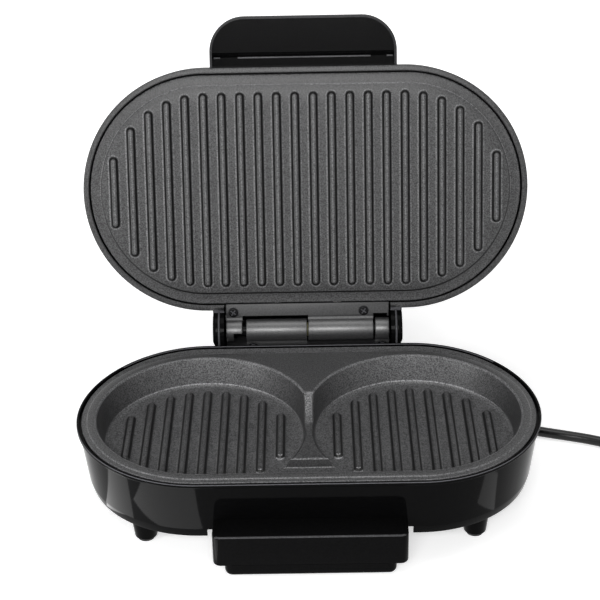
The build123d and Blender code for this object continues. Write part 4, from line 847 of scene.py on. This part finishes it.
paint(plate, base_board, lower_plate_painted_light)
second_finish(plate, base_board, shaded_coating_copy, on_toe_face)

# %% [markdown]
# ## The upper cooking plate
# The lid's plate is flat, with a slightly raised field and one long row of ribs.
# Each rib ends on the same capsule line, so we work its length out from there.
# That saves measuring 22 lengths.

# %% Upper plate and its ribs
LID_RIBS, LID_RIB_LINE, FIELD = 22, 57.0, 2.6
upper = capsule("upper_plate", [
    (50, 5.7), (66.6, 5.7), (67.0, 5.3), (67.0, 3.6), (66.6, 3.2), (61.5, 3.2),
    (61.15, 3.05), (60.85, 2.75), (60.5, FIELD), (50, FIELD)], steps=64)
lid_places = []
for n in range(LID_RIBS):
    x = (n - (LID_RIBS - 1) / 2) * RIB_PITCH
    lid_places.append((x, sqrt(LID_RIB_LINE ** 2 - max(abs(x) - WELL_X, 0) ** 2)))
upper = join([upper, ribs("upper_ribs", FIELD, -1, lid_places)])
soften(upper, 0)
hand_over(upper, lid_board, "lid", "plate", coated_plate, "upper_cooking_plate")
bpy.data.objects.remove(model_rib)
# Painted light and shade across a lid rib by height, and across the step round the field.
lid_rib_painted_light = [(-0.04, 0.9), (0.1, 0.9), (0.3, -0.45), (0.75, -0.98), (1.72, -0.97),
                 (2.0, -0.65), (2.16, -0.25), (2.2, -0.15), (2.23, 0.7)]
step_outside_painted_light = [(-1, 1.5), (0, 0.5), (0.6, -0.6), (1, -0.9)]
step_inside_painted_light = [(-1, 0.5), (-0.4, -0.6), (0.3, -0.9), (1, -0.9)]


def upper_plate_painted_light(place, facing, middle):
    """Painted shade on the rib sides and painted light at their foot and crest, a step round
    the field with a painted highlight on one side and painted shade on the other, a painted
    highlight on the outer edge, and a darker field.
    """
    rise = FIELD - place.z
    reach = core_distance(middle.x, middle.y)
    if reach < 60.4 and -0.2 < rise < 3 and abs(rise) > 0.005 and facing.z < 0.5:
        return between(rise, lid_rib_painted_light)
    if 60.4 < reach < 61.6 and 2.61 < middle.z < 3.19:
        return between(middle.y / reach, step_outside_painted_light if reach > 61.0 else step_inside_painted_light)
    return 0.7 if reach > 66.55 else -0.22


paint(upper, lid_board, upper_plate_painted_light)

# %% [markdown]
# ## The base housing
# The housing is a wall with a lip round the plate. Behind it a box carries the
# hinge. We weld the box on and hollow it, and cut the hole for the cord. The box
# could be a piece of its own, but the real one is moulded with the wall.

# %% Base housing
BOX_X, BOX_BACK, BOX_TOP, WALL_FOOT = 48.6, 87.63, -5.5, -31.3
lip = arc(69.3, -1.9, 0.5, -90, 0, 4) + arc(69.25, -0.75, 0.55, 0, 90, 5)
housing = capsule("base_shell", [(65.2, WALL_FOOT), (68.6, -2.4)] + lip
                  + [(68.5, -0.2), (68.2, -0.5), (68.2, -2.0), (64.2, -2.0), (64.2, -4.6),
                     (65.94, -4.6), (62.8, WALL_FOOT)], closed=True, steps=64)
lift_back(housing)
box = rounded_block("box", (-BOX_X, 64.5, WALL_FOOT), (BOX_X, BOX_BACK, BOX_TOP),
                    (upright(80, 1), 4.0, 8), (level_edge(BOX_TOP, 66, 1), 0.7, 3))
combine(housing, box, "UNION")
combine(housing, block("room", (-46.2, 50, -33), (46.2, 85.23, -7.9)))
combine(housing, post("cord hole", (40, 77, -22), (60, 77, -22), 5.45))
soften(housing, 0)
hand_over(housing, base_board, "base", "housing", gloss_black, "base_housing")


def lip_painted_highlight(place, facing, middle):
    """A thin painted highlight along the rounded top of the lip."""
    on_lip = core_distance(middle.x, middle.y) > 68.9 and middle.z > -1.3
    return 40.0 if on_lip and 0.2 < facing.z < 0.95 else 0.0


paint(housing, base_board, lip_painted_highlight)

# %% [markdown]
# ## The bottom cover and its feet
# A shallow tray closes the housing from below. It has air slots under each
# element and four tapered feet with rubber pads. Its front is cut away for the
# handle. The slots are joined into one cutter, because one cut is quicker than
# sixteen.

# %% Bottom cover
COVER_FOOT, FOOT_TOP, FOOT_END, PAD_END = -37.2, -34.5, -51.0, -52.5
SLOT_FIRST, SLOT_PITCH, SLOT_HALF = 15, 7, 15.5
feet = [(-89.5, -42), (89.5, -42), (-36, 75), (36, 75)]
cover = capsule("bottom_tray", [
    (55, -33.0), (62.0, -33.0), (62.4, -31.5), (65.0, -31.5), (64.1, -35.8),
    (63.75, -36.6), (63.1, -37.1), (62.4, COVER_FOOT), (61.2, COVER_FOOT),
    (61.2, -35.2), (55, -35.2)], steps=64)
box = rounded_block("box", (-47.8, 60, COVER_FOOT), (47.8, 86.83, -31.5),
                    (upright(80, 1), 4.0, 8), (level_edge(COVER_FOOT, 61, 1), 1.4, 4))
combine(cover, box, "UNION")
combine(cover, block("room", (-45.2, 55, -39), (45.2, 84.23, -35.2)))
combine(cover, block("handle place", (-54.5, -70, -40), (54.5, -60.2, -30)))
slots = []
for x in (-WELL_X, WELL_X):
    for end in (-1, 1):
        for n in range(4):
            y = end * (SLOT_FIRST + SLOT_PITCH * n)
            slot = post("slot", (x, y, -37), (x, y, -30), 1.5, sides=20)
            for vertex in slot.data.vertices:
                vertex.co.x += SLOT_HALF * MM * (1 if vertex.co.x > x * MM else -1)
            slots.append(slot)
combine(cover, join(slots))
stands, pads = [], []
for x, y in feet:
    stand = post("foot", (x, y, FOOT_TOP), (x, y, FOOT_END), 8.0, 6.1, sides=40)
    round_edges(stand, lambda m, w: abs(m.z - FOOT_END) < 0.01, 1.1)
    stands.append(stand)
    pad = post("pad", (x, y, FOOT_END + 0.9), (x, y, PAD_END), 4.9, 4.7, sides=36)
    edit(pad, "FACE", "DESELECT")
    shape = bmesh.from_edit_mesh(pad.data)
    for face in shape.faces:
        face.select = face.calc_center_median().z < -52.4 * MM
    bmesh.update_edit_mesh(pad.data)
    bpy.ops.mesh.inset(thickness=1.2 * MM, depth=0)
    bpy.ops.mesh.inset(thickness=0.4 * MM, depth=-0.4 * MM)
    done()
    pads.append(pad)
cover = join([cover] + stands)
soften(cover, 0)
hand_over(cover, base_board, "base", "housing", gloss_black, "bottom_cover")
pads = join(pads)
soften(pads, 0.3)
pads.name = "rubber_pads"
hand_over(pads, base_board, "base", "pad", rubber, "foot_pads")

# %% [markdown]
# ## The lid
# The lid's section runs from the inside of the roof, down the wall, over the
# ledge and the rim, and up the outside to the rounded top. The hood behind it
# is a block that we round and then trim to the side view of the hinge.

# %% Lid shell
TURN_Z, TURN_RADIUS = 26, 10.0  # the rounded top edge
CHEEK_X, HOOD_BACK, HOOD_TOP = 55.8, 95.0, 28.2
BEAD_X, BEAD_RADIUS = 52.2, 11.2


def lid_reach(rise):
    """How far out the slanted wall stands at a height."""
    return 71.3 - (rise - 2.2) * 0.03492


def hinge_distance(place):
    """How far a place is from the hinge's axis."""
    return sqrt((place.y - HINGE_Y) ** 2 + (place.z - HINGE_Z) ** 2)


turn_y = lid_reach(TURN_Z) - TURN_RADIUS
lid_section = (arc(turn_y, TURN_Z, 7.8, 90, 0, 8)
               + [(68.89, 8.2), (64.5, 8.2), (64.5, 5.7), (68.0, 5.7), (68.0, 2.7),
                  (68.45, 2.2), (70.7, 2.2), (71.15, 2.4), (71.3, 2.9)]
               + arc(turn_y, TURN_Z, TURN_RADIUS, 0, 90, 12))
shell = capsule("lid_cover", lid_section, steps=64)
hood = rounded_block("hood", (-CHEEK_X, 69.8, -7.0), (CHEEK_X, HOOD_BACK, HOOD_TOP),
                     (upright(90, 1), 8.0, 10), (level_edge(HOOD_TOP, 70, 1), 5.0, 8))
side_view = prism("side view", [(69.0, 2.2), (72.6, 2.2)]
                  + arc(HINGE_Y, HINGE_Z, 11.3, 195, 360, 24)
                  + [(HOOD_BACK, HOOD_TOP), (69.0, HOOD_TOP)], -60, 60)
combine(hood, side_view, "INTERSECT")
for x in (-BEAD_X, BEAD_X):
    clear_selection()
    bpy.ops.mesh.primitive_torus_add(major_segments=96, minor_segments=16,
                                     major_radius=BEAD_RADIUS * MM, minor_radius=0.75 * MM,
                                     location=(x * MM, HINGE_Y * MM, HINGE_Z * MM),
                                     rotation=(0, pi / 2, 0))
    settle()
    combine(hood, rename("bead"), "UNION")
combine(hood, block("room", (-49.2, 60, -12), (49.2, 92.8, 26.0)))
combine(hood, block("cut", (-49.2, HINGE_Y, -12), (49.2, 99, 12.3)))


def on_cheek(middle, way):
    """The outer edges of the two cheeks, below the hinge's axis."""
    return (abs(abs(middle.x) - CHEEK_X) < 0.02 and middle.z < HINGE_Z
            and abs(way.x) < 0.1 and hinge_distance(middle) > 11.0)


def on_rim(middle, facing):
    """The flat rim round the plate, which is coated like the plate."""
    return (facing.z < -0.25 and middle.z < 3.0
            and 68.2 < core_distance(middle.x, middle.y) < 71.4)


def shell_tone_and_bead_highlight(place, facing, middle):
    """The rim is a little darker than the plate, and the cheeks' beads get a painted
    highlight.
    """
    if middle.z < 3.0 and core_distance(middle.x, middle.y) < 71.4:
        return -0.3
    on_bead = abs(abs(middle.x) - BEAD_X) < 0.45 and 11.55 < hinge_distance(middle) < 12.2
    return 30.0 if on_bead and middle.z < 6 else 0.0


round_edges(hood, on_cheek, 0.6, 2)
combine(shell, hood, "UNION")
combine(shell, block("doorway", (-49.2, 60, 1), (49.2, 72.5, 9.5)))
soften(shell, 0)
hand_over(shell, lid_board, "lid", "housing", gloss_black, "lid_shell")
second_finish(shell, lid_board, coated_plate, on_rim)
paint(shell, lid_board, shell_tone_and_bead_highlight)

# %% [markdown]
# ## The lid's handle
# Both handles are hollow mouldings. The lid's has large round corners and a
# shallow panel inside a thin rim on the side that faces us. A pocket for the
# fingers is cut along its root, and three ridges stand in it.

# %% Lid handle
GRIP_LOW, GRIP_TOP = 3.4, 15.0
grip = rounded_block("lid_grip", (-54, -100.2, GRIP_LOW), (54, -70.2, GRIP_TOP),
                     (upright(-99, -1), 20.0, 18), (level_edge(GRIP_TOP, -70.3, -1), 2.5, 5),
                     (level_edge(GRIP_LOW, -70.3, -1), 0.45, 3))
combine(grip, rounded_block("panel", (-52.5, -98.7, 2.0), (52.5, -79.7, 4.2),
                            (upright(-98, -1), 18.5, 18)))
combine(grip, prism("pocket", [(-79.8, 2.0), (-79.7, 4.2), (-76.6, 9.4), (-69, 9.4),
                               (-69, 2.0)], -52.5, 52.5))
for left, right in ((-37.8, 39.0), (-51.8, -48.0), (48.2, 51.8)):
    ridge = rounded_block("ridge", (left, -77.0, 7.0), (right, -76.1, 9.8),
                          (lambda m, w: m.z < 7.1, 0.4, 3))
    combine(grip, ridge, "UNION")
soften(grip, 0)
hand_over(grip, lid_board, "lid", "moulding", satin_black, "lid_handle")


def handle_painted_highlights(place, facing, middle):
    """Painted highlights on the rim round the panel, on the ridges and on the pocket's edge.
    """
    if middle.z < 3.9 and -0.98 < facing.z < -0.02:
        return 12 + 18 * abs(facing.x)
    if middle.z < 3.45 and facing.z < -0.9:
        return 9.0
    on_ridge = -77.3 < middle.y < -75.9 and 6.9 < middle.z < 7.5
    on_pocket_edge = -80.0 < middle.y < -79.5 and middle.z < 5
    return 30.0 if on_ridge else 5.0 if on_pocket_edge else 0.0


paint(grip, lid_board, handle_painted_highlights)

# %% [markdown]
# ## The base's handle
# It has two tiers and is open below, as a moulding with even walls is. Two
# blocks are welded, and three rooms are cut from below, which leaves two ribs
# between them.

# %% Base handle
TIER_TOP, TIER_FOOT, LOW_FOOT = -25.0, -43.6, -50.4
grip = rounded_block("base_grip", (-51.3, -81.6, TIER_FOOT), (51.3, -60.5, TIER_TOP),
                     (upright(-80, -1), 4.2, 8), (level_edge(TIER_TOP, -61, -1), 1.3, 4),
                     (level_edge(TIER_FOOT, -61, -1), 1.0, 3))
tier = rounded_block("tier", (-45.2, -81.6, LOW_FOOT), (45.2, -60.5, -43.0),
                     (upright(-80, -1), 4.2, 8), (level_edge(LOW_FOOT, -61, -1), 3.0, 6))
combine(grip, tier, "UNION")
combine(grip, block("housing place", (-60, -65.3, -31.3), (60, -55, -20)))
for left, right in ((-42.7, -31), (-21, 21), (31, 42.7)):
    combine(grip, block("room", (left, -79.1, -52), (right, -68.6, -29)))
soften(grip, 0)
hand_over(grip, base_board, "base", "moulding", satin_black, "base_handle")


def front_edge_painted_highlight(place, facing, middle):
    """A thin painted highlight along the rounded top edge of the front."""
    on_edge = middle.z > -26.4 and middle.y < -80.2
    return 14.0 if on_edge and 0.2 < facing.z < 0.9 else 0.0


paint(grip, base_board, front_edge_painted_highlight)

# %% [markdown]
# ## The hinge
# Barrels and knuckles of the base and the lid stand side by side on one line.
# Each is a round bar with soft ends on a web that comes from its own panel. The
# bars are turned smooth on the real hinge, so they have a brighter finish.

# %% Hinge halves
def barrel(left, right):
    """A round bar on the hinge's axis, with soft ends."""
    bar = post("barrel", (left, HINGE_Y, HINGE_Z), (right, HINGE_Y, HINGE_Z), 6.6, sides=64)
    return round_edges(bar, lambda m, w: abs(w.x) < 0.5, 0.6, 3)


def on_barrel(middle, facing):
    """The turned bars, without the webs behind them."""
    return hinge_distance(middle) < 6.8


all_edges = (lambda m, w: True, 0.5, 3)
base_half = rounded_block("base_hinge", (-48.2, 70.4, -5.5), (48.2, 87.33, -3.0), all_edges)
for left, right in ((-36.3, -0.4), (39.9, 48.2)):
    web = prism("web", [(80.7, -4.4), (87.33, -4.4), (87.33, 4.3), (80.7, 4.3)], left, right)
    combine(base_half, web, "UNION")
    combine(base_half, barrel(left, right), "UNION")
soften(base_half, 0)
hand_over(base_half, base_board, "base", "moulding", hinge_grey, "base_hinge_bracket")
second_finish(base_half, base_board, hinge_barrel, on_barrel)

lid_half = rounded_block("lid_hinge_half", (-48.2, 67.6, 2.6), (48.2, 76.1, 5.1), all_edges)
for left, right in ((-48.2, -38.6), (0.4, 38.8)):
    combine(lid_half, block("arm", (left, 74, 2.7), (right, 83.7, 5.1)), "UNION")
    combine(lid_half, barrel(left, right), "UNION")
combine(lid_half, block("slot above the barrel", (-38.5, 74.8, 0), (0.3, 77.5, 8)))
combine(lid_half, block("slot above the knuckle", (38.9, 74.2, 0), (47.2, 77.5, 8)))
combine(lid_half, block("notch", (-43.9, 84.4, -4), (-38.4, 92, 12)))
soften(lid_half, 0)
hand_over(lid_half, lid_board, "lid", "moulding", hinge_grey, "lid_hinge_bracket")
second_finish(lid_half, lid_board, hinge_barrel, on_barrel)

# %% [markdown]
# ## The hinge screws
# A pan head is a low dome with a cross cut into it. The head stands up on the
# base's half and hangs down from the lid's, so one function draws both.

# %% Screws with cross recess
HEAD_TOP, HEAD_TURN = 1.1, radians(35)


def pan_head(name, x, back, seat, way):
    """A screw whose head stands on the seat (way 1) or hangs under it (way -1)."""
    head = post(name, (0, 0, 0), (0, 0, HEAD_TOP), 3.0, 2.6, sides=40)
    round_edges(head, lambda m, w: abs(m.z - HEAD_TOP) < 0.01, 0.5, 3)
    for long_x, long_y in ((1.9, 0.35), (0.35, 1.9)):
        combine(head, block("cut", (-long_x, -long_y, 0.4), (long_x, long_y, 2)))
    combine(head, post("shank", (0, 0, -3.4), (0, 0, 0.2), 1.5, sides=24), "UNION")
    flip = Matrix.Rotation(pi, 4, "X") if way < 0 else Matrix.Identity(4)
    head.matrix_world = (Matrix.Translation((x * MM, back * MM, seat * MM))
                         @ Matrix.Rotation(HEAD_TURN, 4, "Z") @ flip)
    activate(head)
    settle()
    return head


def screw_painted_highlights(place, facing, middle):
    """Painted highlights on the cross and the edge of the head."""
    in_cross = min(abs(middle.z - 2.2), abs(middle.z + 2.6)) < 0.05
    return 22.0 if in_cross or abs(facing.z) < 0.3 else 4.0 if abs(facing.z) < 0.8 else 0.0


heads = join([pan_head("base_hinge_heads", x, 77.0, -3.0, 1) for x in (-32.4, 44.0)])
soften(heads, 0)
hand_over(heads, base_board, "base", "screw", black_screw, "base_hinge_screws")
paint(heads, base_board, screw_painted_highlights)
heads = join([pan_head("lid_hinge_heads", x, 72.6, 2.6, -1) for x in (-43.8, 33.2)])
soften(heads, 0)
hand_over(heads, lid_board, "lid", "screw", black_screw, "lid_hinge_screws")
paint(heads, lid_board, screw_painted_highlights)

# %% [markdown]
# ## Floor and background
# The grill stands on plain white. The camera and mirror-like surfaces see pure
# white around it. The floor's own glow grows away from the grill, so that a soft
# shadow stays near it and the far floor runs into the background.

# %% World and floor
WHITE = (1, 1, 1, 1)


def only_seen(tree):
    """1 for rays that show the background: from the camera, a gloss or a glass."""
    path = tree.nodes.new("ShaderNodeLightPath")
    total = path.outputs["Is Camera Ray"]
    for kind in ("Is Glossy Ray", "Is Transmission Ray"):
        add = add_node(tree, "ShaderNodeMath", operation="ADD", use_clamp=True)
        tree.links.new(total, add.inputs[0])
        tree.links.new(path.outputs[kind], add.inputs[1])
        total = add.outputs["Value"]
    return total


world = bpy.data.worlds.new("studio")
world.use_nodes = True
bpy.context.scene.world = world
tree = world.node_tree
ambient = tree.nodes["Background"]
ambient.inputs["Color"].default_value = WHITE
ambient.inputs["Strength"].default_value = 0.25
seen = add_node(tree, "ShaderNodeBackground", {"Color": WHITE, "Strength": 1.0})
blend = add_node(tree, "ShaderNodeMixShader")
tree.links.new(only_seen(tree), blend.inputs["Fac"])
wire(tree, (ambient, "Background", blend, 1), (seen, "Background", blend, 2))
tree.links.new(blend.outputs["Shader"], tree.nodes["World Output"].inputs["Surface"])

clear_selection()
bpy.ops.mesh.primitive_plane_add(size=8)
floor = rename("floor")
white = bpy.data.materials.new("white floor")
white.use_nodes = True
tree = white.node_tree
paper = tree.nodes["Principled BSDF"]
for socket, value in (("Base Color", (0.9, 0.9, 0.9, 1)), ("Roughness", 0.9),
                      ("Specular IOR Level", 0.0), ("Emission Color", WHITE)):
    paper.inputs[socket].default_value = value
where = add_node(tree, "ShaderNodeTexCoord")
away = add_node(tree, "ShaderNodeVectorMath", operation="LENGTH")
sweep = add_node(tree, "ShaderNodeMapRange", {"From Min": 0.16, "From Max": 0.5,
                                              "To Min": 0.5, "To Max": 1.0})
lift = add_node(tree, "ShaderNodeMath", operation="MULTIPLY")
wire(tree, (where, "Object", away, 0), (away, "Value", sweep, "Value"),
     (sweep, "Result", lift, 1))
tree.links.new(only_seen(tree), lift.inputs[0])
wire(tree, (lift, "Value", paper, "Emission Strength"))
floor.data.materials.append(white)

# %% [markdown]
# ## Light
# Black gloss has no shade of its own and shows only what it mirrors. Four soft
# lamps from the front, above and both sides shape it. Three small lights lie on
# the floor and are seen only as gleams in the base's wall. Gleams could be
# painted on the wall, but painted ones would not move with the eye.

# %% Lamps
def soft_lamp(name, place, aim, size, power):
    """A rectangular lamp that points from its place to its aim."""
    light = bpy.data.lights.new(name, "AREA")
    light.shape = "RECTANGLE"
    light.size, light.size_y = size
    light.energy = power
    lamp = bpy.data.objects.new(name, light)
    lamp.location = place
    lamp.rotation_euler = (Vector(aim) - Vector(place)).to_track_quat("-Z", "Y").to_euler()
    bpy.context.scene.collection.objects.link(lamp)
    return lamp


def strip(name, x, y, turn, size, brightness):
    """A small light on the floor that shows only as a gleam in the base's wall."""
    power = brightness * pi * size[0] * size[1]
    lamp = soft_lamp(name, (x, y, 0.0015), (x, y, 1), size, power)
    lamp.rotation_euler = (pi, 0, radians(turn))
    lamp.visible_camera = False


soft_lamp("front key", (-0.12, -1.6, 1.05), (0, 0, 0.08), (0.9, 0.6), 21)
soft_lamp("top", (0.0, 0.1, 1.6), (0, 0, 0.05), (1.0, 0.8), 5.5)
soft_lamp("left box", (-1.05, -0.75, 0.35), (0, 0, 0.03), (0.35, 0.6), 8)
soft_lamp("right box", (1.2, -0.6, 0.4), (0, 0, 0.03), (0.25, 0.5), 2)
strip("left gleam", -0.1468, -0.0859, 14, (0.062, 0.034), 4.3)
strip("front gleam", -0.0985, -0.1325, -15, (0.07, 0.044), 6.0)
strip("right gleam", 0.131, -0.101, -10, (0.03, 0.02), 2.8)
bpy.context.scene.view_settings.view_transform = "Standard"
